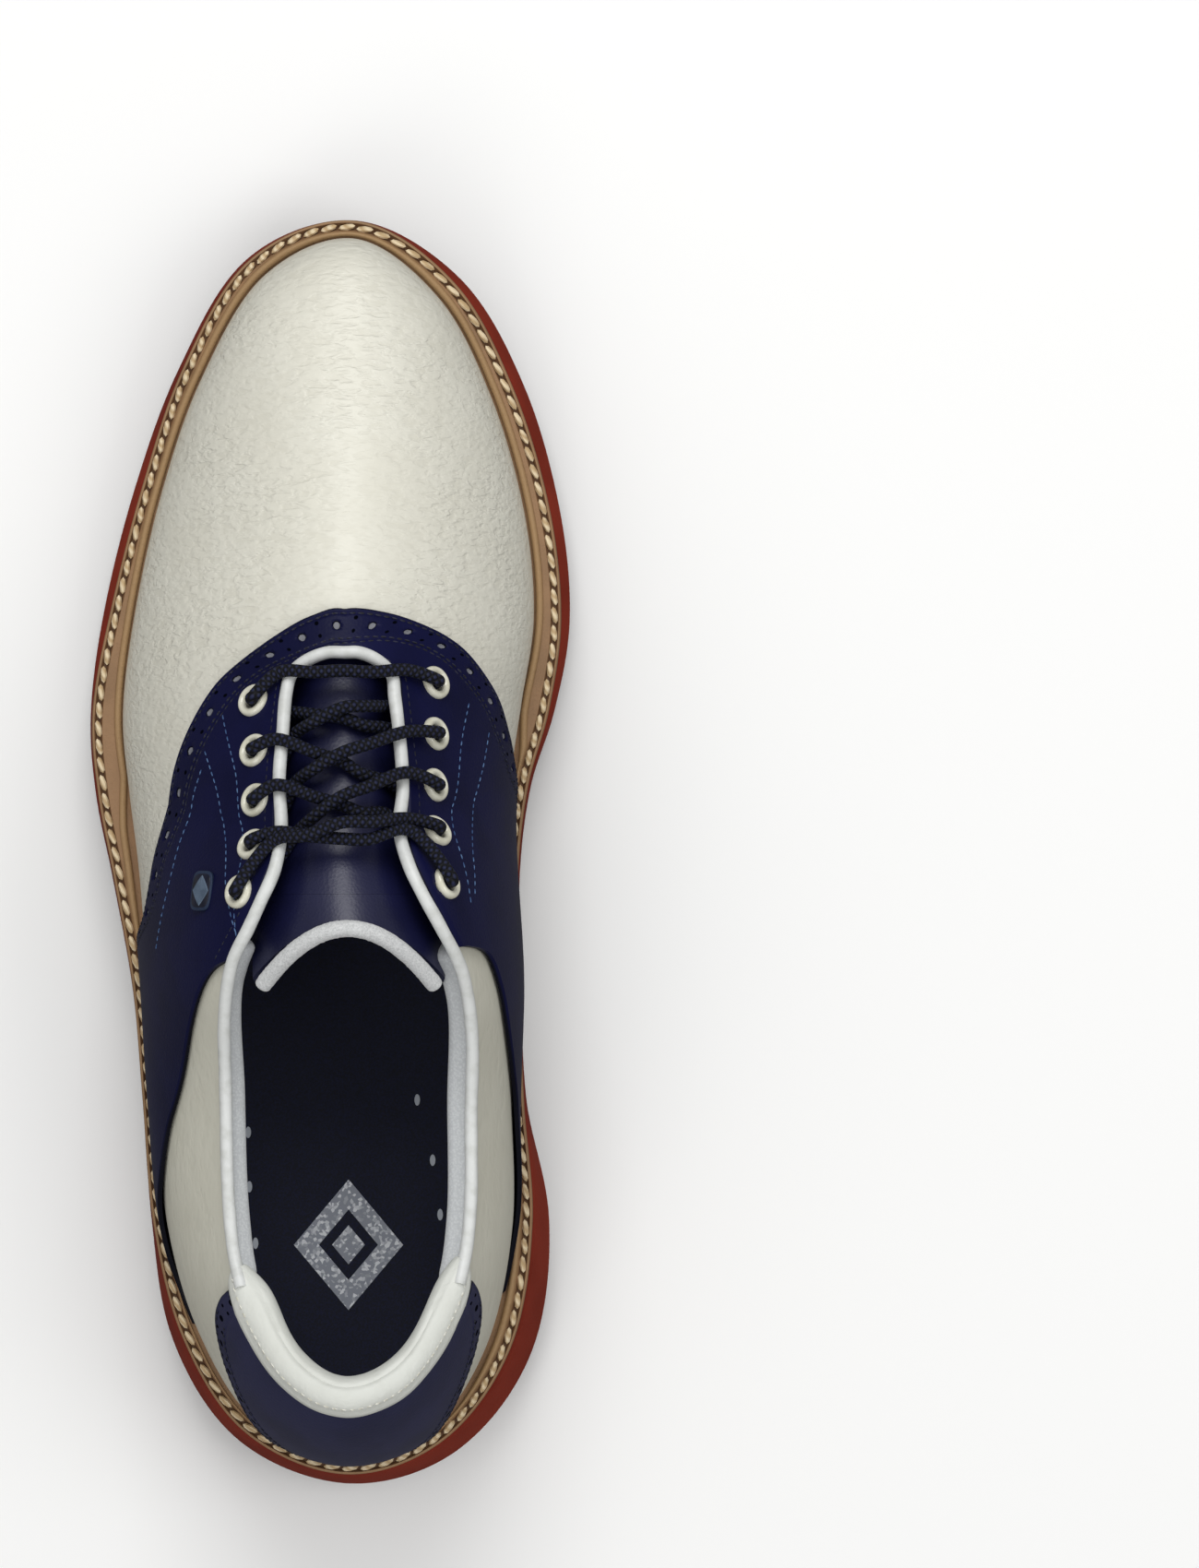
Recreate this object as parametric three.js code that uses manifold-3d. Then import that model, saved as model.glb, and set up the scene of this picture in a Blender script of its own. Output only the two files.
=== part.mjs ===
// A left golf shoe with a saddle, five pairs of eyelets, a storm welt and seven twist-in cleats.
// Millimetres. +Z up, +Y to the toe, +X to the inner side of the foot. The origin is under the
// middle of the shoe, on the ground that the cleat tips stand on.
import * as THREE from 'three'
import { mergeVertices } from 'three/addons/utils/BufferGeometryUtils.js'
import Module from 'manifold-3d'

const wasm = await Module()
wasm.setup()

// Stations run from the heel (0) to the toe (13) on each side of the foot. Each one is a rib:
// [foot of the rib x, y], [top x, y, z] or [top y] on the instep ridge,
// [rise and bow at the foot, fall and reach at the top], welt width, outsole width.
const innerSide = [
  [[4.2, -142.6], [5, -126, 94], [18, 3, 17, 14], 5.3, 8.4],
  [[24.2, -135.2], [18.5, -120.5, 91], [18, 4, 16, 12], 5.5, 10],
  [[37, -115], [30, -104, 84.5], [18, 5, 15, 9], 6.8, 12],
  [[41.8, -88], [33.7, -85, 79.5], [18, 6, 15, 6], 6.6, 10.6],
  [[41, -60], [34, -58, 80.5], [19, 8, 15, 5], 5.4, 6],
  [[40, -32], [33.2, -31.5, 92.5], [22, 11, 16, 7], 5.3, 5.6],
  [[39.5, -5], [22.5, -11.5, 104.5], [25, 12, 12, 12], 5.4, 5.8],
  [[41.8, 17], [0], [25, 9, 0, 18], 5.6, 6.2],
  [[45.3, 36], [20], [22, 5, 0, 18], 7.2, 8.5],
  [[48.6, 57], [44], [18, 2, 0, 19], 6.6, 8.7],
  [[46.3, 82], [70], [18, 1, 0, 18], 6.1, 8.5],
  [[38.5, 109], [93], [18, 1, 0, 16], 5.7, 8.4],
  [[26, 132.5], [107], [19, 1, 0, 16], 5.3, 7.2],
  [[6, 146.5], [112], [20, 1, 0, 17], 4.4, 4.8],
]
const outerSide = [
  innerSide[0],
  [[-16.8, -133.6], [-7.5, -119.5, 90.5], [18, 4, 16, 12], 5.4, 8.8],
  [[-30, -113], [-18.5, -103, 84.3], [18, 4, 14, 10], 5.5, 8.6],
  [[-36.8, -87], [-22, -84, 79.3], [18, 6, 14, 9], 5.3, 6.2],
  [[-39.4, -58], [-22.9, -56, 80.7], [20, 7, 14, 9], 5.3, 5.6],
  [[-41.6, -31], [-21.6, -28.5, 95.5], [22, 6, 13, 12], 5.6, 6],
  [[-44.6, -5], [-10, -11.5, 104.5], [24, 5, 6, 17], 7.2, 7.8],
  [[-47.5, 15], [0], [23, 5, 0, 19], 8.1, 9],
  [[-49.3, 34], [20], [20, 3, 0, 21], 7.6, 8.4],
  [[-46.5, 58], [44], [18, 2, 0, 20], 6, 7.9],
  [[-40.3, 86], [70], [18, 1, 0, 18], 5, 7],
  [[-30.8, 113], [93], [18, 1, 0, 17], 5.2, 6.5],
  [[-15.8, 137.5], [107], [19, 1, 0, 17], 5.3, 6.3],
  innerSide[13],
]
const toeStation = 13
const ridgeStation = 7

// Heights along the shoe: [y, z] of the feather line, where upper and welt meet, of the instep
// ridge, and of the underside of the outsole.
const featherKnots = [[-151, 31.5], [-110, 30.5], [-70, 27.5], [-30, 23], [10, 19.5], [50, 18.3],
  [85, 19.3], [115, 22.5], [151, 29.5]]
const ridgeKnots = [[-10, 109], [0, 105.5], [10, 101], [30, 90.2], [44, 81.6], [56, 75.8],
  [75, 69], [95, 63.2], [112, 57.5]]
const ridgeAcrossKnots = [[-10, 4.5], [50, 4.5], [75, 5.2], [112, 6.2]]
const groundKnots = [[-151, 6], [-92, 6], [-82, 6], [-72, 6.7], [-42, 11.5], [-22, 11.5], [4, 6.6], [10, 6],
  [16, 6], [94, 6], [100, 6], [108, 6.5], [151, 18]]

// Layers of the upper, measured outwards from the outside of the cream leather.
const leather = { low: -1.4, high: 0 }
const overlay = { low: 0.75, high: 1.9 }
const stiffener = { low: -2.8, high: -2.1 }
const lining = { low: -4.4, high: -3.5 }
const facing = { low: -1.2, high: -0.1 }

// Parts of the sole, as heights above the feather line and distances out from it.
const weltTop = -0.35
const weltBottom = -4
const weltInner = -3.6
const beadHeight = 1.5
const grooveHalf = 0.95
const grooveDepth = 1
const stitchInset = 1.55
const threadRadius = 0.75
const midsoleDrop = 2.3
const layerGap = 0.3
const fillerReach = -4.2
const insoleReach = -4.8

const lineThrough = (knots) => {
  const last = knots.length - 1
  const slopes = knots.map((knot, i) => {
    const before = knots[Math.max(i - 1, 0)]
    const after = knots[Math.min(i + 1, last)]
    return (after[1] - before[1]) / (after[0] - before[0])
  })
  return (x) => {
    if (x <= knots[0][0]) return knots[0][1] + (x - knots[0][0]) * slopes[0]
    if (x >= knots[last][0]) return knots[last][1] + (x - knots[last][0]) * slopes[last]
    let i = 0
    while (x > knots[i + 1][0]) i += 1
    const step = knots[i + 1][0] - knots[i][0]
    const t = (x - knots[i][0]) / step
    const rise = (3 - 2 * t) * t * t
    return knots[i][1] * (1 - rise) + knots[i + 1][1] * rise
      + step * t * (1 - t) * (slopes[i] * (1 - t) - slopes[i + 1] * t)
  }
}
const featherHeight = lineThrough(featherKnots)
const ridgeHeight = lineThrough(ridgeKnots)
const ridgeAcross = lineThrough(ridgeAcrossKnots)
const groundHeight = lineThrough(groundKnots)

const smooth = (from, to, value) => {
  const t = Math.min(Math.max((value - from) / (to - from), 0), 1)
  return t * t * (3 - 2 * t)
}

const asNumbers = ([foot, top, bow, welt, sole]) => {
  const onRidge = top.length === 1
  const place = onRidge ? [ridgeAcross(top[0]), top[0], ridgeHeight(top[0])] : top
  return [...foot, ...place, ...bow, welt, sole, onRidge ? 1 : 0]
}
const loop = [...innerSide, ...outerSide.slice(1, -1).reverse()].map(asNumbers)

// u is a station, negative on the outer side: the loop of ribs is read anywhere with a spline.
const station = (u) => {
  const around = (u + loop.length) % loop.length
  const i = Math.floor(around)
  const t = around - i
  const [a, b, c, d] = [-1, 0, 1, 2].map((k) => loop[(i + k + loop.length) % loop.length])
  const row = b.map((value, k) => value + 0.5 * t * (c[k] - a[k]
    + t * (2 * a[k] - 5 * b[k] + 4 * c[k] - d[k] + t * (3 * (b[k] - c[k]) + d[k] - a[k]))))
  const [footX, footY, topX, topY, topZ, rise, bow, fall, reach, welt, sole, ridge] = row
  const onRidge = b.at(-1) === 1 && c.at(-1) === 1
  const foot = new THREE.Vector3(footX, footY, featherHeight(footY))
  const top = onRidge ? new THREE.Vector3(ridgeAcross(topY), topY, ridgeHeight(topY))
    : new THREE.Vector3(topX, topY, topZ)
  return { foot, top, rise, bow, fall, reach, welt, sole, ridge: Math.min(Math.max(ridge, 0), 1) }
}

const ridgeSlope = (y) => (ridgeHeight(y + 0.05) - ridgeHeight(y - 0.05)) / 0.1

// A point of the outside of the upper: h goes from the feather line (0) to the top (1).
const skin = (u, h) => {
  const { foot, top, rise, bow, fall, reach, ridge } = station(u)
  const out = new THREE.Vector3(foot.x - top.x, foot.y - top.y, 0).normalize()
  const low = foot.clone().addScaledVector(out, bow)
  low.z += rise
  const high = top.clone().addScaledVector(out, reach)
  high.z += -fall * (1 - ridge) + ridge * ridgeSlope(top.y) * out.y * reach
  return new THREE.CubicBezierCurve3(foot, low, high, top).getPoint(h)
}

const skinNormal = (u, h) => {
  const onRidge = Math.abs(u) >= ridgeStation && h > 0.985
  if (onRidge) return new THREE.Vector3(0, -ridgeSlope(station(u).top.y), 1).normalize()
  const at = Math.min(Math.max(h, 0.01), 0.985)
  const along = skin(u + 0.02, at).sub(skin(u - 0.02, at))
  const up = skin(u, at + 0.01).sub(skin(u, at - 0.01))
  const normal = along.cross(up).normalize()
  normal.z *= smooth(0, 0.12, h)
  return normal.normalize()
}
const onSkin = (u, h, offset) => skin(u, h).addScaledVector(skinNormal(u, h), offset)

// A point on the ground plan, `out` millimetres outside the feather line.
const plan = (u, out) => {
  const along = station(u + 0.05).foot.sub(station(u - 0.05).foot)
  const foot = station(u).foot
  const length = Math.hypot(along.x, along.y)
  return [foot.x + along.y / length * out, foot.y - along.x / length * out]
}

const closedGeometry = (points, faces) => {
  const raw = new THREE.BufferGeometry()
  raw.setAttribute('position', new THREE.Float32BufferAttribute(points.flatMap((p) => [p.x, p.y, p.z]), 3))
  raw.setIndex(faces)
  const merged = mergeVertices(raw, 1e-3)
  const at = merged.attributes.position
  const kept = []
  const [a, b, c] = [new THREE.Vector3(), new THREE.Vector3(), new THREE.Vector3()]
  let volume = 0
  for (let i = 0; i < merged.index.count; i += 3) {
    const [j, k, l] = [0, 1, 2].map((n) => merged.index.getX(i + n))
    if (j !== k && k !== l && l !== j) {
      kept.push(j, k, l)
      b.fromBufferAttribute(at, k)
      c.fromBufferAttribute(at, l)
      volume += a.fromBufferAttribute(at, j).dot(b.cross(c))
    }
  }
  merged.setIndex(volume < 0 ? kept.reverse() : kept)
  return merged
}

// A sheet of cells given a thickness: `outer` and `inner` place the two faces, `keep` leaves out
// cells, and `joined` closes the sheet on itself along its last row.
const sheet = ({ rows, columns, outer, inner, keep = () => true, joined = false }) => {
  const points = []
  const faces = []
  const width = columns + 1
  for (const place of [outer, inner]) {
    for (let i = 0; i <= rows; i += 1) {
      for (let j = 0; j <= columns; j += 1) points.push(place(i, j))
    }
  }
  const far = (rows + 1) * width
  const inside = (i, j) => i >= 0 && j >= 0 && i < rows && j < columns && keep(i, j)
  const quad = (a, b, c, d) => faces.push(a, b, c, a, c, d)
  for (let i = 0; i < rows; i += 1) {
    for (let j = 0; j < columns; j += 1) {
      if (!inside(i, j)) continue
      const corner = i * width + j
      const [a, b, c, d] = [corner, corner + 1, corner + width + 1, corner + width]
      quad(a, b, c, d)
      quad(far + d, far + c, far + b, far + a)
      if (!inside(i - 1, j)) quad(far + a, far + b, b, a)
      if (!inside(i, j + 1)) quad(far + b, far + c, c, b)
      if (!inside(i + 1, j) && !(joined && i === rows - 1)) quad(far + c, far + d, d, c)
      if (!inside(i, j - 1)) quad(far + d, far + a, a, d)
    }
  }
  return closedGeometry(points, faces)
}

// A sheet of the upper between two offsets from its outside.
const panel = ({ layer, at, ...rest }) => sheet({
  outer: (i, j) => onSkin(...at(i, j), layer.high),
  inner: (i, j) => onSkin(...at(i, j), layer.low),
  ...rest,
})

// On the front of the shoe a place is a station q and c across: 1 at the inner feather line,
// 0 on the ridge, -1 at the outer feather line.
const across = (q, c) => [c < 0 ? -q : q, 1 - Math.abs(c)]

// Stations at which every layer of the sole has its corners, closer at the heel and the toe.
const soleStations = []
for (let q = 0; q < 2; q += 0.25) soleStations.push(q)
for (let q = 2; q < 11.5; q += 0.5) soleStations.push(q)
for (let q = 11.5; q <= toeStation; q += 0.25) soleStations.push(q)

// A flat layer of the sole. Each level has a reach outside the feather line and a height.
const slab = (levels, columns = 4) => {
  const points = []
  const faces = []
  const last = soleStations.length - 1
  const edge = levels.map(({ reach, height }) => {
    const start = points.length
    for (const side of [1, -1]) {
      for (const q of soleStations) {
        const [x, y] = plan(side * q, reach(side * q))
        points.push(new THREE.Vector3(x, y, height(x, y)))
      }
    }
    return (side, row) => start + side * (last + 1) + row
  })
  for (let k = 0; k + 1 < levels.length; k += 1) {
    const [low, high] = [edge[k], edge[k + 1]]
    for (let row = 0; row < last; row += 1) {
      const [a, b, c, d] = [low(0, row), low(0, row + 1), high(0, row + 1), high(0, row)]
      faces.push(a, b, c, a, c, d)
      const [e, f, g, h] = [low(1, row), low(1, row + 1), high(1, row + 1), high(1, row)]
      faces.push(f, e, h, f, h, g)
    }
  }
  for (const [level, flip] of [[levels.length - 1, false], [0, true]]) {
    const { height, dish = () => 0 } = levels[level]
    const grid = []
    for (let row = 0; row <= last; row += 1) {
      const inner = points[edge[level](0, row)]
      const outer = points[edge[level](1, row)]
      const line = [edge[level](0, row)]
      for (let j = 1; j < columns; j += 1) {
        const [x, y] = [THREE.MathUtils.lerp(inner.x, outer.x, j / columns),
          THREE.MathUtils.lerp(inner.y, outer.y, j / columns)]
        line.push(points.length)
        points.push(new THREE.Vector3(x, y, height(x, y) + dish(2 * j / columns - 1, inner.x - outer.x, y)))
      }
      line.push(edge[level](1, row))
      grid.push(line)
    }
    for (let row = 0; row < last; row += 1) {
      for (let j = 0; j < columns; j += 1) {
        const [a, b, c, d] = [grid[row][j], grid[row + 1][j], grid[row + 1][j + 1], grid[row][j + 1]]
        if (flip) faces.push(a, c, b, a, d, c)
        else faces.push(a, b, c, a, c, d)
      }
    }
  }
  return closedGeometry(points, faces)
}

// A ring all round the sole with the same closed section of [distance out, height] at each station.
const ring = (section) => {
  const around = [...soleStations, ...soleStations.slice(1, -1).map((q) => -q).reverse()]
  const points = []
  const faces = []
  const count = section(0).length
  for (const u of around) {
    for (const [out, up] of section(u)) {
      const [x, y] = plan(u, out)
      points.push(new THREE.Vector3(x, y, featherHeight(y) + up))
    }
  }
  for (let i = 0; i < around.length; i += 1) {
    const next = (i + 1) % around.length
    for (let j = 0; j < count; j += 1) {
      const k = (j + 1) % count
      const [a, b, c, d] = [i * count + j, i * count + k, next * count + k, next * count + j]
      faces.push(a, b, c, a, c, d)
    }
  }
  return closedGeometry(points, faces)
}

const asSolid = (geometry) => {
  const bare = geometry.clone()
  bare.deleteAttribute('normal')
  bare.deleteAttribute('uv')
  const merged = mergeVertices(bare, 1e-3)
  return new wasm.Manifold(new wasm.Mesh({
    numProp: 3,
    vertProperties: new Float32Array(merged.attributes.position.array),
    triVerts: new Uint32Array(merged.index.array),
  }))
}
const asGeometry = (solid) => {
  const { vertProperties, triVerts } = solid.getMesh()
  const geometry = new THREE.BufferGeometry()
  geometry.setAttribute('position', new THREE.BufferAttribute(vertProperties, 3))
  geometry.setIndex(new THREE.BufferAttribute(triVerts, 1))
  return geometry
}
const cut = (geometry, tools) => asGeometry(
  tools.reduce((rest, tool) => rest.subtract(asSolid(tool)), asSolid(geometry)))
const join = (geometry, others) => asGeometry(
  others.reduce((rest, other) => rest.add(asSolid(other)), asSolid(geometry)))

const shoe = new THREE.Group()
const add = (name, geometry, look) => {
  const mesh = new THREE.Mesh(geometry, new THREE.MeshStandardMaterial(look))
  mesh.name = name
  shoe.add(mesh)
  return mesh
}

const creamLeather = { color: '#dcdacb', roughness: 0.5, metalness: 0 }
const navyLeather = { color: '#17183c', roughness: 0.42, metalness: 0 }
const lightTextile = { color: '#c9cac4', roughness: 0.85, metalness: 0 }
const whitePiping = { color: '#e9ebea', roughness: 0.45, metalness: 0 }
const weltLeather = { color: '#8c6a48', roughness: 0.6, metalness: 0 }
const threadCream = { color: '#d9c6a6', roughness: 0.8, metalness: 0 }
const brickRubber = { color: '#7c3a2b', roughness: 0.6, metalness: 0 }
const darkBoard = { color: '#3b352e', roughness: 0.9, metalness: 0 }
const cork = { color: '#9a7448', roughness: 0.95, metalness: 0 }
const springSteel = { color: '#8d9095', roughness: 0.4, metalness: 1 }
const footbedNavy = { color: '#080d26', roughness: 0.9, metalness: 0 }
const eyeletEnamel = { color: '#e3e1cd', roughness: 0.25, metalness: 0.1 }
const laceNavy = { color: '#14172b', roughness: 0.8, metalness: 0 }
const blackPlastic = { color: '#1b1c20', roughness: 0.45, metalness: 0 }
const cleatGrey = { color: '#33363f', roughness: 0.5, metalness: 0 }
const badgeGrey = { color: '#5d6a80', roughness: 0.35, metalness: 0.8 }

// Eyelets from the toe end back, as [station, h].
const eyelets = {
  medial: [[8.56, 0.66], [8, 0.65], [7.38, 0.65], [6.75, 0.67], [6.12, 0.82]],
  lateral: [[8.44, 0.71], [7.94, 0.72], [7.38, 0.72], [6.75, 0.73], [6.06, 0.83]],
}
const eyeletPlaces = Object.entries(eyelets).flatMap(([side, list]) => list.map(([q, h], k) => (
  { name: `eyelet_${side}_${k + 1}`, u: side === 'medial' ? q : -q, h })))
const eyeletBore = 2.4
const barrelRadius = 2.75
const flangeRadius = 3.7
const holeRadius = barrelRadius + 0.5

const alongNormal = (object, u, h) => {
  object.quaternion.setFromUnitVectors(new THREE.Vector3(0, 1, 0), skinNormal(u, h))
  object.position.copy(skin(u, h))
  return object
}
const eyeletHoles = eyeletPlaces.map(({ u, h }) => {
  const hole = alongNormal(new THREE.Object3D(), u, h)
  hole.updateMatrix()
  return new THREE.CylinderGeometry(holeRadius, holeRadius, 9, 6).applyMatrix4(hole.matrix)
})

// Rows shared by the three layers of the toe, so that they stay parallel.
const toeRows = [10.4, 10.9, 11.35, 11.75, 12.1, 12.4, 12.7, 13]

// Vamp: from under the saddle's front edge to the toe. The back edge is [c, station].
const addVamp = () => {
  const backEdge = lineThrough([[-1, 5.55], [-0.88, 6.05], [-0.76, 6.6], [-0.64, 7.2], [-0.54, 7.8],
    [-0.45, 8.32], [-0.35, 8.8], [-0.23, 9.12], [-0.11, 9.32], [0, 9.38], [0.11, 9.34], [0.24, 9.19],
    [0.38, 8.96], [0.5, 8.6], [0.62, 8.1], [0.74, 7.5], [0.85, 6.92], [1, 6.4]])
  const sideRows = 5
  const columns = 16
  add('vamp', panel({
    layer: leather, rows: sideRows + toeRows.length - 1, columns, joined: true,
    at: (i, j) => {
      const c = 2 * j / columns - 1
      const q = i < sideRows ? THREE.MathUtils.lerp(backEdge(c), toeRows[0], i / sideRows)
        : toeRows[i - sideRows]
      return across(q, c)
    },
  }), creamLeather)
}

// Toe puff and vamp lining under it. The lining leaves the throat open.
const addFrontLining = () => {
  const columns = 16
  const puffStart = 2
  add('toe_puff', panel({
    layer: stiffener, rows: toeRows.length - 1 - puffStart, columns, joined: true,
    at: (i, j) => across(toeRows[i + puffStart], 2 * j / columns - 1),
  }), darkBoard)
  const throatRow = 5
  const stations = [6.75, 7.3, 7.85, 8.4, 8.9, 9.4, 9.9, ...toeRows]
  add('vamp_lining', panel({
    layer: lining, rows: stations.length - 1, columns, joined: true,
    at: (i, j) => across(stations[i], 2 * j / columns - 1),
    keep: (i, j) => i >= throatRow || j < columns / 4 || j >= columns * 3 / 4,
  }), lightTextile)
}

// Saddle: a horseshoe from the inner tail round the throat to the outer tail. Each pair is a
// place on its outer edge and the place across from it on its inner edge, as [station, h].
const saddlePairs = [
  [[2.5, 0], [2.52, 0.04]], [[2.8, 0], [2.85, 0.17]], [[3.1, 0], [3.2, 0.27]],
  [[3.45, 0], [3.55, 0.36]],
  [[3.8, 0], [3.9, 0.43]], [[4.6, 0], [4.65, 0.6]],
  [[5.2, 0], [5.2, 0.76]], [[5.7, 0], [5.55, 0.955]], [[6.2, 0], [6, 0.93]], [[6.6, 0], [6.4, 0.84]],
  [[7.1, 0.15], [6.85, 0.745]], [[7.7, 0.26], [7.4, 0.72]], [[8.3, 0.38], [7.95, 0.725]],
  [[8.8, 0.5], [8.4, 0.745]], [[9.15, 0.62], [8.75, 0.78]], [[9.35, 0.76], [9, 0.85]],
  [[9.48, 0.89], [9.2, 0.93]], [[9.52, 1], [9.29, 1]], [[-9.45, 0.89], [-9.2, 0.93]],
  [[-9.28, 0.77], [-9, 0.845]], [[-8.98, 0.65], [-8.75, 0.785]], [[-8.5, 0.55], [-8.4, 0.765]],
  [[-8, 0.46], [-7.95, 0.76]], [[-7.4, 0.36], [-7.4, 0.75]], [[-6.8, 0.24], [-6.9, 0.755]],
  [[-6.25, 0.12], [-6.45, 0.81]], [[-5.75, 0], [-6, 0.885]], [[-5.4, 0], [-5.6, 0.925]],
  [[-5.1, 0], [-5.3, 0.95]], [[-4.7, 0], [-5.05, 0.83]], [[-4.2, 0], [-4.6, 0.72]],
  [[-3.6, 0], [-4, 0.56]], [[-3.25, 0], [-3.6, 0.46]], [[-2.95, 0], [-3.2, 0.36]],
  [[-2.65, 0], [-2.85, 0.27]], [[-2.4, 0], [-2.5, 0.17]], [[-2.15, 0], [-2.17, 0.04]],
]
const addSaddle = () => {
  const columns = 7
  const toChart = ([u, h]) => [Math.abs(u), Math.sign(u) * (1 - h)]
  const saddle = panel({
    layer: overlay, rows: saddlePairs.length - 1, columns,
    at: (i, j) => {
      const [[q0, c0], [q1, c1]] = saddlePairs[i].map(toChart)
      return across(THREE.MathUtils.lerp(q0, q1, j / columns), THREE.MathUtils.lerp(c0, c1, j / columns))
    },
  })
  add('saddle', cut(saddle, eyeletHoles), navyLeather)
}

// Facings: the reinforced strips under the eyelets. Edges are [station, h].
const addFacings = () => {
  const upperEdge = {
    medial: lineThrough([[5.9, 0.94], [6.1, 0.905], [6.5, 0.805], [7, 0.73], [7.5, 0.725], [8.1, 0.74],
      [8.6, 0.765], [8.85, 0.79]]),
    lateral: lineThrough([[5.85, 0.9], [6, 0.885], [6.5, 0.81], [7, 0.755], [7.5, 0.755], [8.2, 0.765],
      [8.65, 0.775], [8.85, 0.8]]),
  }
  const lowerEdge = { medial: 0.54, lateral: 0.62 }
  const frontEnd = { medial: [8.5, 8.95], lateral: [8.6, 8.85] }
  const [rows, columns] = [9, 3]
  for (const side of ['medial', 'lateral']) {
    const strip = panel({
      layer: facing, rows, columns,
      at: (i, j) => {
        const q = THREE.MathUtils.lerp(5.82, THREE.MathUtils.lerp(...frontEnd[side], j / columns), i / rows)
        const h = THREE.MathUtils.lerp(lowerEdge[side], upperEdge[side](q), j / columns)
        return [side === 'medial' ? q : -q, h]
      },
    })
    add(`facing_${side}`, cut(strip, eyeletHoles), darkBoard)
  }
}

// Quarters: the cream sides, from the back seam to under the saddle. The front edge is [h, station].
const backTop = (u) => 0.82 + 0.14 * smooth(2.1, 2.6, Math.abs(u)) - 0.05 * smooth(4.4, 5.5, -u)
const addQuarters = () => {
  const frontEdge = {
    medial: lineThrough([[0, 3.1], [0.25, 3.6], [0.45, 4.35], [0.62, 5.05], [0.8, 5.6], [0.965, 5.72]]),
    lateral: lineThrough([[0, 2.7], [0.2, 3.1], [0.38, 3.8], [0.58, 4.5], [0.75, 5.1], [0.85, 5.45],
      [0.965, 5.55]]),
  }
  const backSeam = 0.04
  const [rows, columns] = [10, 8]
  for (const side of ['medial', 'lateral']) {
    const sign = side === 'medial' ? 1 : -1
    add(`quarter_${side}`, panel({
      layer: leather, rows, columns,
      at: (i, j) => {
        const front = frontEdge[side](0.965 * j / columns)
        const u = sign * THREE.MathUtils.lerp(backSeam, front, i / rows)
        return [u, backTop(u) * j / columns]
      },
    }), creamLeather)
  }
}

// Quarter lining: all round the back, thick under the topline where it is padded.
const addQuarterLining = () => {
  const [rows, columns] = [30, 8]
  const end = 6.55
  const padding = (u, h) => 2.2 * smooth(0.5, 0.78, h) * (1 - smooth(5.2, 5.9, Math.abs(u)))
  const at = (i, j) => {
    const u = THREE.MathUtils.lerp(-end, end, i / rows)
    const top = backTop(u) - 0.465 * smooth(5.3, 5.95, Math.abs(u))
    return [u, top * j / columns]
  }
  add('quarter_lining', sheet({
    rows, columns,
    outer: (i, j) => onSkin(...at(i, j), lining.high),
    inner: (i, j) => onSkin(...at(i, j), lining.low - padding(...at(i, j))),
  }), lightTextile)
}

const addHeelParts = () => {
  const counterShape = [12, 4]
  add('heel_stiffener', panel({
    layer: stiffener, rows: counterShape[0], columns: counterShape[1],
    at: (i, j) => [THREE.MathUtils.lerp(-3.2, 3.2, i / counterShape[0]), 0.04 + 0.6 * j / counterShape[1]],
  }), darkBoard)
  const outerEdge = lineThrough([[0, -0.45], [0.3, -0.85], [0.5, -1.3], [0.62, -1.72], [0.72, -2.05],
    [0.81, -2.2]])
  const innerEdge = lineThrough([[0, 0.65], [0.3, 1.06], [0.5, 1.5], [0.62, 1.9], [0.72, 2.2], [0.81, 2.32]])
  const [rows, columns] = [8, 10]
  add('heel_tab', panel({
    layer: overlay, rows, columns,
    at: (i, j) => {
      const h = 0.81 * i / rows
      return [THREE.MathUtils.lerp(outerEdge(h), innerEdge(h), j / columns), h]
    },
  }), navyLeather)
}

// Collar: a padded roll over the back of the topline that thins to the piping at both ends.
const addCollar = () => {
  const [rows, sides] = [22, 9]
  const end = 2.4
  const points = []
  const faces = []
  for (let i = 0; i <= rows; i += 1) {
    const u = THREE.MathUtils.lerp(-end, end, i / rows)
    const full = 1 - smooth(1.2, end, Math.abs(u))
    const { foot, top } = station(u)
    const out = new THREE.Vector3(foot.x - top.x, foot.y - top.y, 0).normalize()
    const [wide, tall] = [1.5 + 3.3 * full, 1.6 + 4.2 * full]
    const centre = top.clone().addScaledVector(out, 0.6 * full)
    centre.z += 0.5 - tall
    for (let j = 0; j < sides; j += 1) {
      const angle = 2 * Math.PI * j / sides
      const point = centre.clone().addScaledVector(out, wide * Math.cos(angle))
      point.z += tall * Math.sin(angle)
      points.push(point)
    }
  }
  for (let i = 0; i < rows; i += 1) {
    for (let j = 0; j < sides; j += 1) {
      const k = (j + 1) % sides
      faces.push(i * sides + j, i * sides + k, (i + 1) * sides + k)
      faces.push(i * sides + j, (i + 1) * sides + k, (i + 1) * sides + j)
    }
  }
  for (let j = 1; j + 1 < sides; j += 1) {
    faces.push(0, j + 1, j)
    faces.push(rows * sides, rows * sides + j, rows * sides + j + 1)
  }
  add('collar', closedGeometry(points, faces), creamLeather)
}

const circle = (radius, sides) => new THREE.Shape().setFromPoints(
  Array.from({ length: sides }, (_, k) => new THREE.Vector2(radius, 0)
    .rotateAround(new THREE.Vector2(), 2 * Math.PI * (k + 0.5) / sides)))
const cord = (points, radius, sides, steps) => new THREE.ExtrudeGeometry(circle(radius, sides), {
  steps, bevelEnabled: false, extrudePath: new THREE.CatmullRomCurve3(points, false, 'centripetal'),
})

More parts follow.
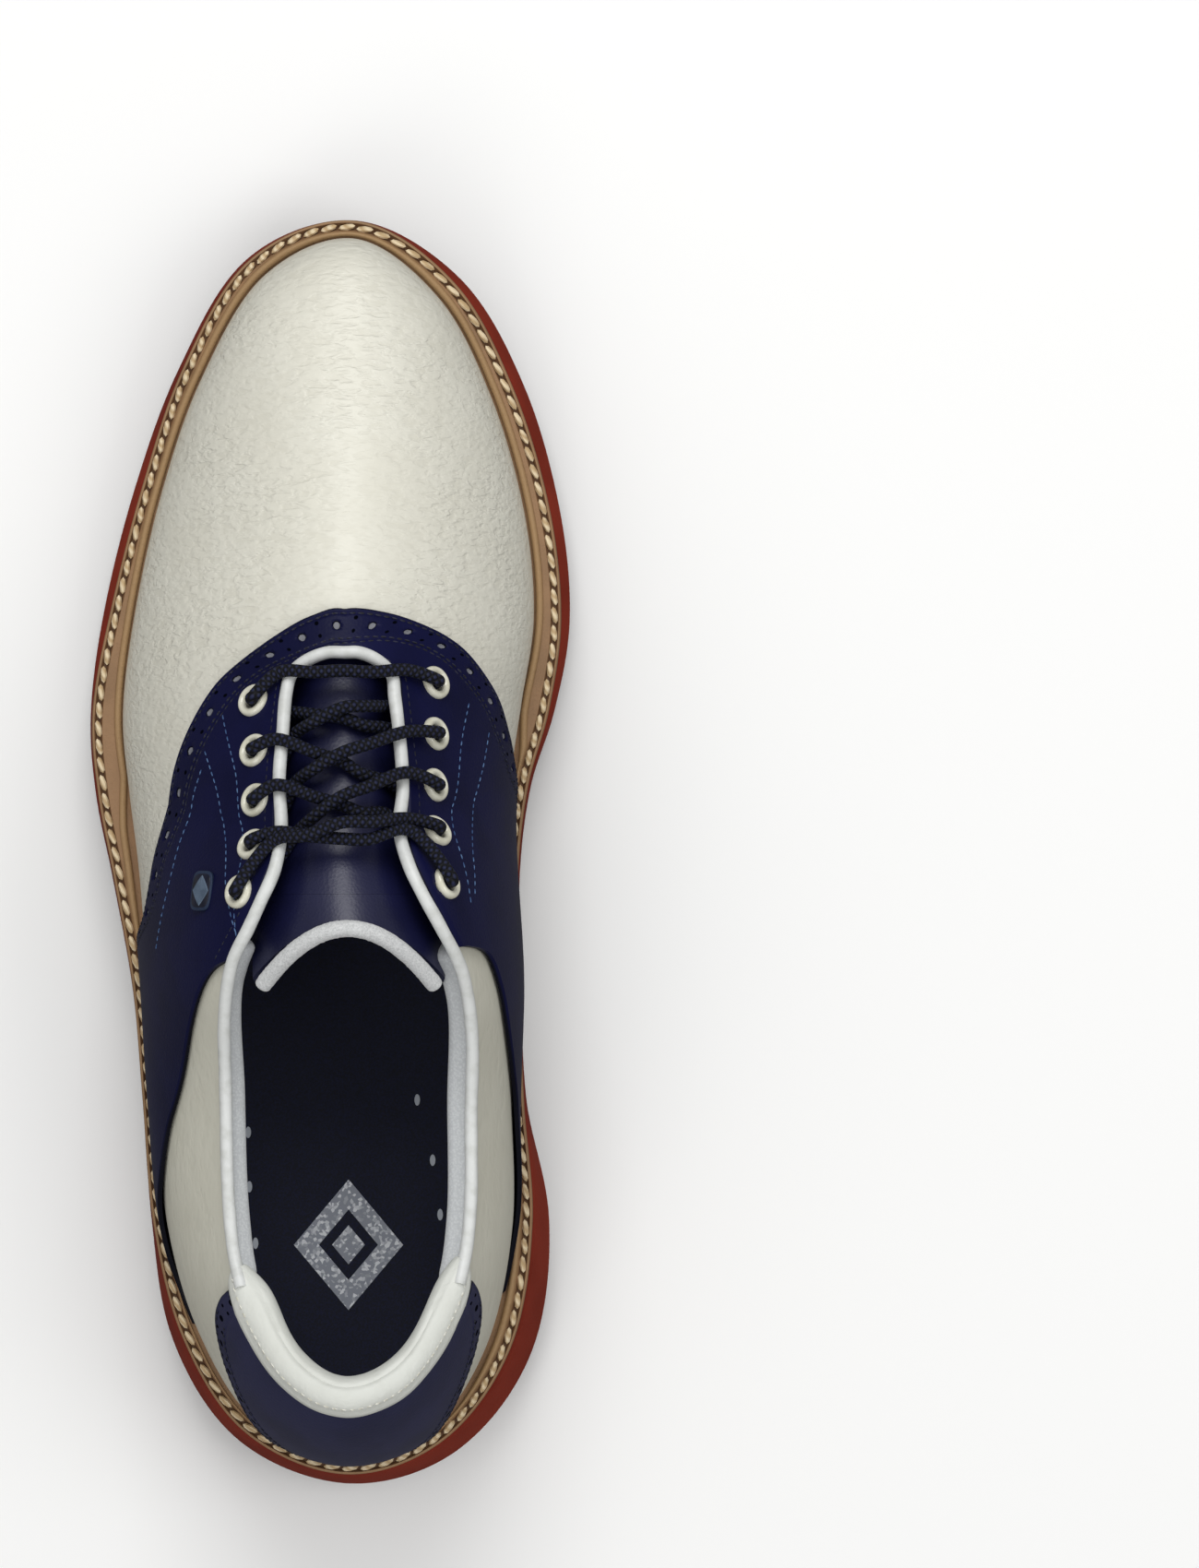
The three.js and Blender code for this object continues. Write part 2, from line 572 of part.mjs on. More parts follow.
// Piping: along the topline, round the throat and back, as [station, h].
const pipingRadius = 1.3
const pipingLine = [[-2.5, 1], [-3.2, 1], [-4, 1], [-4.7, 1], [-5.2, 0.985], [-5.6, 0.965], [-6, 0.925],
  [-6.5, 0.85], [-7.1, 0.79], [-7.7, 0.79], [-8.2, 0.8], [-8.65, 0.815], [-8.95, 0.875], [-9.13, 0.94],
  [9.2, 1], [9.13, 0.94], [8.95, 0.875], [8.6, 0.8], [8.1, 0.775], [7.5, 0.76], [7, 0.77], [6.5, 0.85],
  [6.1, 0.95], [5.7, 0.995], [5.2, 1], [4.6, 1], [3.9, 1], [3.2, 1], [2.5, 1]]
const addPiping = () => {
  const points = pipingLine.map(([u, h]) => onSkin(u, h, 0.3))
  add('piping', cord(points, pipingRadius, 6, 72), whitePiping)
}

// Tongue: an arched tongue under the lacing. The knots are [y, z] of the middle of its top face.
const tongueFold = -9
const tongueThickness = 2.4
const tongueKnots = [[-18, 109.4], [-9, 105.2], [0, 100.7], [10, 96], [30, 85], [44, 76.4], [57, 69.4]]
const tongueHeight = lineThrough(tongueKnots)
const tonguePoint = (y, v, depth) => {
  const past = Math.max(tongueFold - y, 0) / 9
  const half = 17 + 3.7 * smooth(2, 20, -y)
  const middle = 4.5 + 1.5 * smooth(0, -18, y)
  const sag = THREE.MathUtils.lerp(v > 0 ? 0.065 : 0.053, 0.034, smooth(-12, 20, -y))
  const sideways = half * v
  const slope = Math.atan((tongueHeight(y - 1) - tongueHeight(y + 1)) / 2)
  const back = 16.5 * past * v * v
  const rise = 3 * past * v * v
  return new THREE.Vector3(middle + sideways * (1 - depth * 0.04), y - back - depth * Math.sin(slope),
    tongueHeight(y) - sag * sideways * sideways + rise - depth * Math.cos(slope))
}
const tongueSheet = (from, to, rows) => {
  const columns = 6
  const place = (depth) => (i, j) => tonguePoint(
    THREE.MathUtils.lerp(from, to, i / rows), 2 * j / columns - 1, depth)
  return sheet({ rows, columns, outer: place(0), inner: place(tongueThickness) })
}
const addTongue = () => {
  add('tongue', tongueSheet(56, tongueFold + layerGap, 8), navyLeather)
  const flapEnd = -15.4
  add('tongue_flap', tongueSheet(tongueFold - layerGap, flapEnd, 2), navyLeather)
  add('tongue_edge', tongueSheet(flapEnd - layerGap, -18, 1), lightTextile)
}

const addEyelets = () => {
  const [bottom, seat, crown] = [-1.5, 2.25, 3]
  const outline = [[eyeletBore, bottom], [barrelRadius, bottom], [barrelRadius, seat],
    [flangeRadius, seat], [flangeRadius, seat + 0.3], [3.35, crown], [2.9, crown - 0.1],
    [eyeletBore, seat - 0.3], [eyeletBore, bottom]]
  for (const { name, u, h } of eyeletPlaces) {
    const ringShape = new THREE.LatheGeometry(outline.map(([x, y]) => new THREE.Vector2(x, y)), 8)
    alongNormal(add(name, ringShape, eyeletEnamel), u, h)
  }
}

// Lace: one cord from the inside of the outer fifth eyelet to the inside of the inner one. A strand
// is [from side, row, over or under the edge, station there], [station and offset where it crosses
// the middle], [station at the other edge, over or under it, to side, row].
const laceRadius = 1.5
const laceUnder = -3.3
const laceOver = 3.9
const strands = [
  [['lateral', 5, 'over', 6.85], [7.32, 4.9], [7.11, 'over', 'medial', 4]],
  [['medial', 4, 'under', 7.27], [7.66, -1.9], [7.6, 'over', 'lateral', 3]],
  [['lateral', 3, 'under', 7.71], [8.14, 1.6], [8.12, 'over', 'medial', 2]],
  [['medial', 2, 'under', 8.26], [8.56, -1.9], [8.49, 'under', 'lateral', 1]],
  [['lateral', 1, 'over', 8.74], [8.92, 2.2], [8.74, 'over', 'medial', 1]],
  [['medial', 1, 'under', 8.52], [8.58, 1.6], [8.24, 'under', 'lateral', 2]],
  [['lateral', 2, 'over', 8.09], [8.12, -1.9], [7.68, 'under', 'medial', 3]],
  [['medial', 3, 'over', 7.66], [7.68, 1.6], [7.12, 'under', 'lateral', 4]],
  [['lateral', 4, 'over', 7.04], [7.2, 1.3], [6.88, 'over', 'medial', 5]],
]
const lacePath = () => {
  const sign = { medial: 1, lateral: -1 }
  const edgeHeight = { medial: 0.775, lateral: 0.8 }
  const down = [[0.022, 4.9], [0.003, 2.9], [0, 0.4], [0.004, -2.2], [0.035, laceUnder - 0.2]]
  const pass = (side, row, from) => {
    const [q, h] = eyelets[side][row - 1]
    const list = from === 'over' ? down : [...down].reverse()
    return list.map(([rise, offset]) => [sign[side] * q, h + rise, offset])
  }
  const tail = (side) => {
    const [q, h] = eyelets[side][4]
    const drops = [[-0.04, -4.6], [-0.17, -5.9], [-0.28, -6.9], [-0.37, -7.2], [-0.45, -7.2]]
    return drops.map(([drop, offset]) => [sign[side] * q, h + drop, offset])
  }
  const edge = (side, kind, q) => [sign[side] * q, edgeHeight[side], kind === 'over' ? laceOver : laceUnder]
  const half = (side, kind, q, middle) => {
    const [, , offset] = edge(side, kind, q)
    return [sign[side] * (q + middle[0]) / 2, 0.9, THREE.MathUtils.lerp(offset, middle[1], 0.72)]
  }
  const route = tail('lateral').reverse()
  route.push(...pass('lateral', 5, 'under').slice(1))
  for (const [[side, , kind, q], middle, [q2, kind2, side2, row2]] of strands) {
    route.push(edge(side, kind, q), half(side, kind, q, middle), [middle[0], 1, middle[1]],
      half(side2, kind2, q2, middle), edge(side2, kind2, q2), ...pass(side2, row2, kind2))
  }
  route.pop()
  route.push(...tail('medial'))
  return route.map(([u, h, offset]) => onSkin(u, h, offset))
}
const addLace = () => {
  const points = lacePath()
  add('lace', cord(points, laceRadius, 5, 215), laceNavy)
  const ends = [[points[0], points[1]], [points.at(-1), points.at(-2)]]
  ends.forEach(([end, before], k) => {
    const direction = end.clone().sub(before).normalize()
    const tip = new THREE.CylinderGeometry(1.6, 1.6, 12, 8)
    const aglet = add(`aglet_${k + 1}`, tip, blackPlastic)
    aglet.quaternion.setFromUnitVectors(new THREE.Vector3(0, 1, 0), direction)
    aglet.position.copy(end).addScaledVector(direction, 6 + layerGap)
  })
}

// Badge: a plain plate on the outer side of the saddle.
const addBadge = () => {
  const [width, height, corner] = [6.4, 9.6, 1.2]
  const plate = new THREE.Shape()
  for (const [k, [x, y]] of [[1, 1], [-1, 1], [-1, -1], [1, -1]].entries()) {
    const start = k * Math.PI / 2
    plate.absarc(x * (width / 2 - corner), y * (height / 2 - corner), corner, start, start + Math.PI / 2)
  }
  const solid = new THREE.ExtrudeGeometry(plate, { depth: 0.8, bevelEnabled: false, curveSegments: 2 })
  const [u, h] = [-6.08, 0.63]
  const badge = add('badge', solid, badgeGrey)
  const up = skin(u + 0.1, h).sub(skin(u - 0.1, h)).normalize()
  const normal = skinNormal(u, h)
  badge.quaternion.setFromRotationMatrix(new THREE.Matrix4().makeBasis(up.clone().cross(normal), up, normal))
  badge.position.copy(onSkin(u, h, overlay.high + 0.25))
}

// Welt: a flat strip with a groove for its stitches and a raised bead against the upper.
const beadStart = lineThrough([[-7.2, 0.5], [-6.4, 2.4], [0, 2.4], [7.2, 2.4], [7.9, 0.5]])
const beadOffset = (u) => Math.min(Math.max(beadStart(u), 0.5), 2.4)
const stitchLine = (u) => station(u).welt - stitchInset
const weltSection = (u) => {
  const edge = station(u).welt
  const start = beadOffset(u)
  const groove = stitchLine(u)
  const bead = Math.min(Math.max(groove - grooveHalf - 0.15 - start, 0.25), 1.9)
  const high = beadHeight * Math.min(bead / 1.2, 1)
  return [[weltInner, weltBottom], [edge, weltBottom], [edge, weltTop - 0.4], [edge - 0.4, weltTop],
    [groove + grooveHalf, weltTop], [groove + grooveHalf * 0.6, weltTop - grooveDepth],
    [groove - grooveHalf * 0.6, weltTop - grooveDepth], [groove - grooveHalf, weltTop],
    [start + bead, weltTop], [start + bead * 0.6, weltTop + high],
    [start + bead * 0.2, weltTop + high * 0.9], [start, weltTop], [weltInner, weltTop]]
}
const addWelt = () => {
  add('welt', ring(weltSection), weltLeather)
  const thread = (u) => Array.from({ length: 4 }, (_, k) => {
    const angle = Math.PI * (k / 2 + 0.25)
    return [stitchLine(u) + 0.8 * threadRadius * Math.cos(angle),
      weltTop - 0.05 + threadRadius * Math.sin(angle)]
  })
  add('welt_stitch', ring(thread), threadCream)
}

// Insole board, shank, cork and footbed inside the welt, then midsole and outsole below it.
const above = (rise) => (x, y) => featherHeight(y) + rise
const flat = (reach) => () => reach
const layer = (reach, low, high) => [{ reach, height: above(low) }, { reach, height: above(high) }]
const shankShape = (margin) => {
  const [half, from, to, rows] = [8 + margin, -96 - margin, 22 + margin, 10]
  const place = (drop) => (i, j) => {
    const y = THREE.MathUtils.lerp(from, to, i / rows)
    return new THREE.Vector3(3.5 + half * (2 * j - 1), y, featherHeight(y) + drop)
  }
  return sheet({ rows, columns: 1, outer: place(-1.3 + margin), inner: place(-2.4 - margin) })
}
const addInnerSole = () => {
  add('insole_board', slab(layer(flat(insoleReach), -0.9, 1.2), 3), darkBoard)
  add('shank', shankShape(0), springSteel)
  add('cork_filler', cut(slab(layer(flat(fillerReach), weltBottom, -1.3), 3), [shankShape(0.4)]), cork)
  const bedReach = (u) => insoleReach - 0.4 - 1.3 * smooth(5, 8, Math.abs(u))
  const bottom = { reach: bedReach, height: above(1.6) }
  const cup = lineThrough([[-145, 5.5], [-120, 4.5], [-80, 3], [-20, 3], [30, 1], [145, 0.6]])
  const edgeRise = (x, y) => featherHeight(y) + 5.6 + cup(y)
  const dish = (v, width, y) => -cup(y) * (1 - v * v) * smooth(0, 40, width)
  add('footbed', slab([bottom, { reach: bedReach, height: edgeRise, dish }], 4), footbedNavy)
}

const soleTop = weltBottom - layerGap - midsoleDrop - layerGap
const receptacleRadius = 9.2
const receptacleDepth = 3.6
const cleatPlaces = [[-41, 26], [38, 40], [-37, 66], [36, 74], [2, 89], [-22, -112], [30, -112]]
const addOutsole = () => {
  add('midsole', slab(layer((u) => station(u).welt - 0.3, weltBottom - layerGap - midsoleDrop,
    weltBottom - layerGap), 3), { ...weltLeather, color: '#5a3f2a' })
  const reach = (share, inset) => (u) => {
    const { welt, sole } = station(u)
    return THREE.MathUtils.lerp(welt, sole, share) - inset
  }
  const between = (share) => (x, y) => (
    THREE.MathUtils.lerp(groundHeight(y), featherHeight(y) + soleTop, share))
  const body = slab([
    { reach: reach(0.9, 2.2), height: between(0) },
    { reach: reach(1, 0.2), height: between(0.14) },
    { reach: reach(1, 0), height: between(0.4) },
    { reach: reach(0.25, 0), height: between(1) },
  ], 5)
  const pockets = cleatPlaces.map(([x, y]) => new THREE.CylinderGeometry(receptacleRadius + layerGap,
    receptacleRadius + layerGap, 2 * (receptacleDepth + layerGap), 12)
    .rotateX(Math.PI / 2).translate(x, y, groundHeight(y)))
  add('outsole', cut(body, pockets), brickRubber)
}

// Receptacles and cleats. A cleat turns a sixth of a turn in its receptacle to lock or come out.
const addCleats = () => {
  const [stem, roof, legs, legCircle] = [4.8, 0.7, 6, 7.3]
  const seat = groundHeight(0.5 * (cleatPlaces[0][1] + cleatPlaces[3][1]))
  const revolve = (outline, segments) => new THREE.LatheGeometry(
    outline.map(([x, z]) => new THREE.Vector2(x, z)), segments).rotateX(Math.PI / 2)
  const cup = [[0, seat + receptacleDepth - roof], [stem + 0.5, seat + receptacleDepth - roof],
    [stem + 0.5, seat + 0.05], [receptacleRadius, seat + 0.05], [receptacleRadius, seat + receptacleDepth],
    [0, seat + receptacleDepth]]
  const disc = [[0, seat - 3.3], [8.4, seat - 2.5], [9.8, seat - 1], [9.6, seat - 0.3], [stem, seat - 0.3],
    [stem, seat + 2.4], [0, seat + 2.4]]
  const spikes = Array.from({ length: legs }, (_, k) => {
    const angle = 2 * Math.PI * k / legs
    const leg = new THREE.CylinderGeometry(1.9, 1.1, seat - 1.6, 4).rotateX(Math.PI / 2)
    return leg.translate(legCircle * Math.cos(angle), legCircle * Math.sin(angle), (seat - 1.6) / 2)
  })
  const cleat = join(revolve(disc, 10), spikes)
  cleatPlaces.forEach(([x, y], k) => {
    add(`receptacle_${k + 1}`, revolve(cup, 12), blackPlastic).position.set(x, y, 0)
    add(`cleat_${k + 1}`, cleat, cleatGrey).position.set(x, y, 0)
  })
}

addVamp()
addFrontLining()
addSaddle()
addFacings()
addQuarters()
addQuarterLining()
addHeelParts()
addCollar()
addPiping()
addTongue()
addEyelets()
addLace()
addBadge()
addWelt()
addInnerSole()
addOutsole()
addCleats()

export default shoe
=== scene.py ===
# Looks of a left golf shoe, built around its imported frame.
# Shapes are worked out in millimetres, +X to the inner side, +Y to the toe, +Z up, and written in metres.
import math

import bpy
import numpy as np
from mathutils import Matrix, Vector


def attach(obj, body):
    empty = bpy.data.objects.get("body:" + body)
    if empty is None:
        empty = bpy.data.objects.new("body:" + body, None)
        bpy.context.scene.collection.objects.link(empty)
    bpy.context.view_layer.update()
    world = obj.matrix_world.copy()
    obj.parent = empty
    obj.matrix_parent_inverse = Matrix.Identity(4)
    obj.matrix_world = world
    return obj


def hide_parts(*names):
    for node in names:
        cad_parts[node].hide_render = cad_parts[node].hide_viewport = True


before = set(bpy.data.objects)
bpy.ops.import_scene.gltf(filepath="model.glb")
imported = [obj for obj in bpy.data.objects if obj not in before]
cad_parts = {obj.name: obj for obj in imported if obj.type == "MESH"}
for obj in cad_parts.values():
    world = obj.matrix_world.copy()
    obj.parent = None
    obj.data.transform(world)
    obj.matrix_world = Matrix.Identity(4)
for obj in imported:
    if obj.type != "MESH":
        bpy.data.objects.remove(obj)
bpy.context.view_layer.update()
mm = 0.001

# camera and light
view = {"x": 64.4, "y": 16.6, "height": 3000, "distance": 2988, "tall": 375.9, "sensor": 36}
lights = [  # name, place, size, power in watts
    ("toeSoftbox", (-0.05, 1.1, 1.25), 0.9, 11),
    ("sideSoftbox", (0.9, -0.15, 1.2), 0.7, 3),
    ("heelSoftbox", (-0.5, -0.95, 1.2), 0.7, 3),
]
sky = {"horizon": 0.16, "overhead": 0.72}

cameraData = bpy.data.cameras.new("camera")
cameraData.sensor_fit = "VERTICAL"
cameraData.sensor_height = view["sensor"]
cameraData.lens = view["sensor"] * view["distance"] / view["tall"]
cameraData.clip_end = 20
camera = bpy.data.objects.new("camera", cameraData)
camera.location = (view["x"] * mm, view["y"] * mm, view["height"] * mm)
bpy.context.scene.collection.objects.link(camera)
bpy.context.scene.camera = camera
bpy.context.scene.view_settings.view_transform = "Standard"

for name, place, size, power in lights:
    lamp = bpy.data.lights.new(name, "AREA")
    lamp.size = size
    lamp.energy = power
    lampObject = bpy.data.objects.new(name, lamp)
    lampObject.location = place
    lampObject.rotation_euler = (Vector((0, 0, 0.05)) - Vector(place)).to_track_quat("-Z", "Y").to_euler()
    bpy.context.scene.collection.objects.link(lampObject)
print("stage: camera and light")


# the form of the shoe
# Ribs from the heel (0) to the toe (13): foot x, y; top x, y, z or the ridge's y;
# rise and bow at the foot, fall and reach at the top; welt width; outsole width.
innerSide = [
    [(4.2, -142.6), (5, -126, 94), (18, 3, 17, 14), 5.3, 8.4],
    [(24.2, -135.2), (18.5, -120.5, 91), (18, 4, 16, 12), 5.5, 10],
    [(37, -115), (30, -104, 84.5), (18, 5, 15, 9), 6.8, 12],
    [(41.8, -88), (33.7, -85, 79.5), (18, 6, 15, 6), 6.6, 10.6],
    [(41, -60), (34, -58, 80.5), (19, 8, 15, 5), 5.4, 6],
    [(40, -32), (33.2, -31.5, 92.5), (22, 11, 16, 7), 5.3, 5.6],
    [(39.5, -5), (22.5, -11.5, 104.5), (25, 12, 12, 12), 5.4, 5.8],
    [(41.8, 17), (0,), (25, 9, 0, 18), 5.6, 6.2],
    [(45.3, 36), (20,), (22, 5, 0, 18), 7.2, 8.5],
    [(48.6, 57), (44,), (18, 2, 0, 19), 6.6, 8.7],
    [(46.3, 82), (70,), (18, 1, 0, 18), 6.1, 8.5],
    [(38.5, 109), (93,), (18, 1, 0, 16), 5.7, 8.4],
    [(26, 132.5), (107,), (19, 1, 0, 16), 5.3, 7.2],
    [(6, 146.5), (112,), (20, 1, 0, 17), 4.4, 4.8],
]
outerSide = [
    innerSide[0],
    [(-16.8, -133.6), (-7.5, -119.5, 90.5), (18, 4, 16, 12), 5.4, 8.8],
    [(-30, -113), (-18.5, -103, 84.3), (18, 4, 14, 10), 5.5, 8.6],
    [(-36.8, -87), (-22, -84, 79.3), (18, 6, 14, 9), 5.3, 6.2],
    [(-39.4, -58), (-22.9, -56, 80.7), (20, 7, 14, 9), 5.3, 5.6],
    [(-41.6, -31), (-21.6, -28.5, 95.5), (22, 6, 13, 12), 5.6, 6],
    [(-44.6, -5), (-10, -11.5, 104.5), (24, 5, 6, 17), 7.2, 7.8],
    [(-47.5, 15), (0,), (23, 5, 0, 19), 8.1, 9],
    [(-49.3, 34), (20,), (20, 3, 0, 21), 7.6, 8.4],
    [(-46.5, 58), (44,), (18, 2, 0, 20), 6, 7.9],
    [(-40.3, 86), (70,), (18, 1, 0, 18), 5, 7],
    [(-30.8, 113), (93,), (18, 1, 0, 17), 5.2, 6.5],
    [(-15.8, 137.5), (107,), (19, 1, 0, 17), 5.3, 6.3],
    innerSide[13],
]
featherKnots = [(-151, 31.5), (-110, 30.5), (-70, 27.5), (-30, 23), (10, 19.5), (50, 18.3), (85, 19.3),
                (115, 22.5), (151, 29.5)]
ridgeKnots = [(-10, 109), (0, 105.5), (10, 101), (30, 90.2), (44, 81.6), (56, 75.8), (75, 69), (95, 63.2),
              (112, 57.5)]
ridgeAcrossKnots = [(-10, 4.5), (50, 4.5), (75, 5.2), (112, 6.2)]
groundKnots = [(-151, 6), (-92, 6), (-82, 6), (-72, 6.7), (-42, 11.5), (-22, 11.5), (4, 6.6), (10, 6),
               (16, 6), (94, 6), (100, 6), (108, 6.5), (151, 18)]
leather = (-1.4, 0)
overlay = (0.75, 1.9)
lining = (-4.4, -3.5)


def lineThrough(knots):  # a smooth curve through the knots, straight past both ends
    x, y = np.array(knots, float).T
    slope = np.gradient(y, x, edge_order=1)
    slope[1:-1] = (y[2:] - y[:-2]) / (x[2:] - x[:-2])

    def at(value):
        value = np.asarray(value, float)
        i = np.clip(np.searchsorted(x, value, side="right") - 1, 0, len(x) - 2)
        step = x[i + 1] - x[i]
        t = np.clip((value - x[i]) / step, 0, 1)
        rise = (3 - 2 * t) * t * t
        inside = (y[i] * (1 - rise) + y[i + 1] * rise
                  + step * t * (1 - t) * (slope[i] * (1 - t) - slope[i + 1] * t))
        return inside + np.minimum(value - x[0], 0) * slope[0] + np.maximum(value - x[-1], 0) * slope[-1]

    return at


featherHeight = lineThrough(featherKnots)
ridgeHeight = lineThrough(ridgeKnots)
ridgeAcross = lineThrough(ridgeAcrossKnots)
groundHeight = lineThrough(groundKnots)


def smooth(start, end, value):
    t = np.clip((value - start) / (end - start), 0, 1)
    return t * t * (3 - 2 * t)


def mix(a, b, t):
    return a + (b - a) * t


def unit(vectors):
    return vectors / np.maximum(np.linalg.norm(vectors, axis=-1, keepdims=True), 1e-9)


def asNumbers(rib):
    foot, top, bow, weltWidth, soleWidth = rib
    onRidge = len(top) == 1
    place = (ridgeAcross(top[0]), top[0], ridgeHeight(top[0])) if onRidge else top
    return (*foot, *place, *bow, weltWidth, soleWidth, float(onRidge))


ribs = np.array([asNumbers(rib) for rib in innerSide + outerSide[1:-1][::-1]])


def station(u):  # the rib at u, negative on the outer side, read from the loop with a spline
    around = np.mod(u, len(ribs))
    i = np.floor(around).astype(int)
    t = (around - i)[..., None]
    a, b, c, d = (ribs[(i + k) % len(ribs)] for k in (-1, 0, 1, 2))
    row = b + 0.5 * t * (c - a + t * (2 * a - 5 * b + 4 * c - d + t * (3 * (b - c) + d - a)))
    foot = np.stack([row[..., 0], row[..., 1], featherHeight(row[..., 1])], -1)
    topY = row[..., 3]
    onRidge = (b[..., 11] == 1) & (c[..., 11] == 1)
    ridgeTop = np.stack([ridgeAcross(topY), topY, ridgeHeight(topY)], -1)
    top = np.where(onRidge[..., None], ridgeTop, row[..., 2:5])
    return foot, top, row[..., 5:9], row[..., 9], row[..., 10], np.clip(row[..., 11], 0, 1)


def ridgeSlope(y):
    return (ridgeHeight(y + 0.05) - ridgeHeight(y - 0.05)) / 0.1


def skin(u, h):  # each rib is a cubic curve from the feather line (h 0) to the top (h 1)
    foot, top, shape, _, _, ridge = station(u)
    rise, bow, fall, reach = np.moveaxis(shape, -1, 0)
    out = unit((foot - top) * (1, 1, 0))
    low = foot + out * bow[..., None]
    low[..., 2] += rise
    high = top + out * reach[..., None]
    high[..., 2] += -fall * (1 - ridge) + ridge * ridgeSlope(top[..., 1]) * out[..., 1] * reach
    h = np.asarray(h, float)[..., None]
    k = 1 - h
    return k**3 * foot + 3 * k * k * h * low + 3 * k * h * h * high + h**3 * top


def skinNormal(u, h):
    u, h = np.broadcast_arrays(np.asarray(u, float), np.asarray(h, float))
    at = np.clip(h, 0.01, 0.985)
    along = skin(u + 0.02, at) - skin(u - 0.02, at)
    up = skin(u, at + 0.01) - skin(u, at - 0.01)
    normal = unit(np.cross(along, up))
    normal[..., 2] *= smooth(0, 0.12, h)
    slope = ridgeSlope(station(u)[1][..., 1])
    overRidge = unit(np.stack([np.zeros_like(slope), -slope, np.ones_like(slope)], -1))
    blend = (smooth(0.94, 0.99, h) * (np.abs(u) >= 7))[..., None]
    return unit(mix(unit(normal), overRidge, blend))


def onSkin(u, h, offset):
    offset = np.asarray(offset, float)
    return skin(u, h) + skinNormal(u, h) * offset[..., None]


def across(q, c):  # on the front, c runs from 1 at the inner feather line over the ridge (0) to -1
    return np.where(c < 0, -q, q), 1 - np.abs(c)


def plan(u, out):  # a ground-plan point `out` millimetres outside the feather line
    along = station(u + 0.05)[0] - station(u - 0.05)[0]
    along = unit(along * (1, 1, 0))
    foot = station(u)[0]
    return foot[..., 0] + along[..., 1] * out, foot[..., 1] - along[..., 0] * out


# mesh making
def asRgba(hexColour):  # an sRGB hex value turned to linear
    values = [int(hexColour[k:k + 2], 16) / 255 for k in (1, 3, 5)]
    return (*[v / 12.92 if v <= 0.04045 else ((v + 0.055) / 1.055) ** 2.4 for v in values], 1)


def patch(points, uv=None, **marks):
    points = np.asarray(points, float)
    uv = np.zeros(points.shape[:2] + (2,)) if uv is None else uv
    return points, uv, marks


def flipped(made):
    points, uv, marks = made
    return points[:, ::-1], uv[:, ::-1], {key: values[:, ::-1] for key, values in marks.items()}


def makePiece(name, patches, material, replaces=(), body="shoe", sharp=42):
    # Patches are grids of points. Corners in one place are welded, so patches that meet close up.
    markNames = sorted({key for made in patches for key in made[2]})
    points, uvs, quads = [], [], []
    marks = {key: [] for key in markNames}
    count = 0
    for grid, uv, own in patches:
        n, m = grid.shape[:2]
        index = np.arange(n * m).reshape(n, m) + count
        corners = index[:-1, :-1], index[:-1, 1:], index[1:, 1:], index[1:, :-1]
        quads.append(np.stack(corners, -1).reshape(-1, 4))
        points.append(grid.reshape(-1, 3))
        uvs.append(uv.reshape(-1, 2))
        for key in markNames:
            marks[key].append(np.broadcast_to(own.get(key, 0.0), (n, m)).reshape(-1))
        count += n * m
    points, uvs, quads = np.concatenate(points), np.concatenate(uvs), np.concatenate(quads)
    _, first, place = np.unique(np.round(points * 2000).astype(np.int64), axis=0, return_index=True,
                                return_inverse=True)
    place = place.reshape(-1)
    corners = place[quads]
    same = corners == np.roll(corners, -1, axis=1)
    whole = ~same.any(1)
    folded = same.sum(1) == 1
    triangles = quads[folded][~same[folded]].reshape(-1, 3)
    ends = place[triangles]
    triangles = triangles[(ends != np.roll(ends, -1, axis=1)).all(1)]
    quads = quads[whole]
    quads = quads[(place[quads[:, 0]] != place[quads[:, 2]]) & (place[quads[:, 1]] != place[quads[:, 3]])]
    welded = points[first]
    a, b, c, d = (welded[place[quads[:, k]]] for k in range(4))
    volume = (a * np.cross(b, c)).sum() + (a * np.cross(c, d)).sum()
    if volume < 0:
        quads, triangles = quads[:, ::-1], triangles[:, ::-1]
    loops = np.concatenate([quads.ravel(), triangles.ravel()])
    sizes = np.concatenate([np.full(len(quads), 4), np.full(len(triangles), 3)])
    mesh = bpy.data.meshes.new(name)
    mesh.vertices.add(len(welded))
    mesh.vertices.foreach_set("co", (welded * mm).astype(np.float32).ravel())
    mesh.loops.add(len(loops))
    mesh.loops.foreach_set("vertex_index", place[loops].astype(np.int32))
    mesh.polygons.add(len(sizes))
    mesh.polygons.foreach_set("loop_start", np.concatenate([[0], np.cumsum(sizes)[:-1]]).astype(np.int32))
    mesh.polygons.foreach_set("use_smooth", np.ones(len(sizes), bool))
    mesh.uv_layers.new(name="UVMap").data.foreach_set("uv", uvs[loops].astype(np.float32).ravel())
    for key in markNames:
        values = np.concatenate(marks[key])[first].astype(np.float32)
        mesh.attributes.new(key, "FLOAT", "POINT").data.foreach_set("value", values)
    mesh.update(calc_edges=True)
    mesh.validate()
    mesh.set_sharp_from_angle(angle=math.radians(sharp))
    piece = bpy.data.objects.new(name, mesh)
    bpy.context.scene.collection.objects.link(piece)
    mesh.materials.append(material)
    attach(piece, body)
    if replaces:
        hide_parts(*replaces)
    return piece


def shell(outer, inner, uv, openLast=False, **marks):  # two faces and the walls between their edges
    top = patch(outer, uv, **marks)
    walls = [np.stack([inner[0], outer[0]]), np.stack([inner[:, -1], outer[:, -1]]),
             np.stack([inner[::-1, 0], outer[::-1, 0]])]
    if not openLast:
        walls.append(np.stack([inner[-1, ::-1], outer[-1, ::-1]]))
    return [top, flipped(patch(inner, uv, **{key: 0 * values for key, values in marks.items()})),
            *[patch(wall) for wall in walls]]


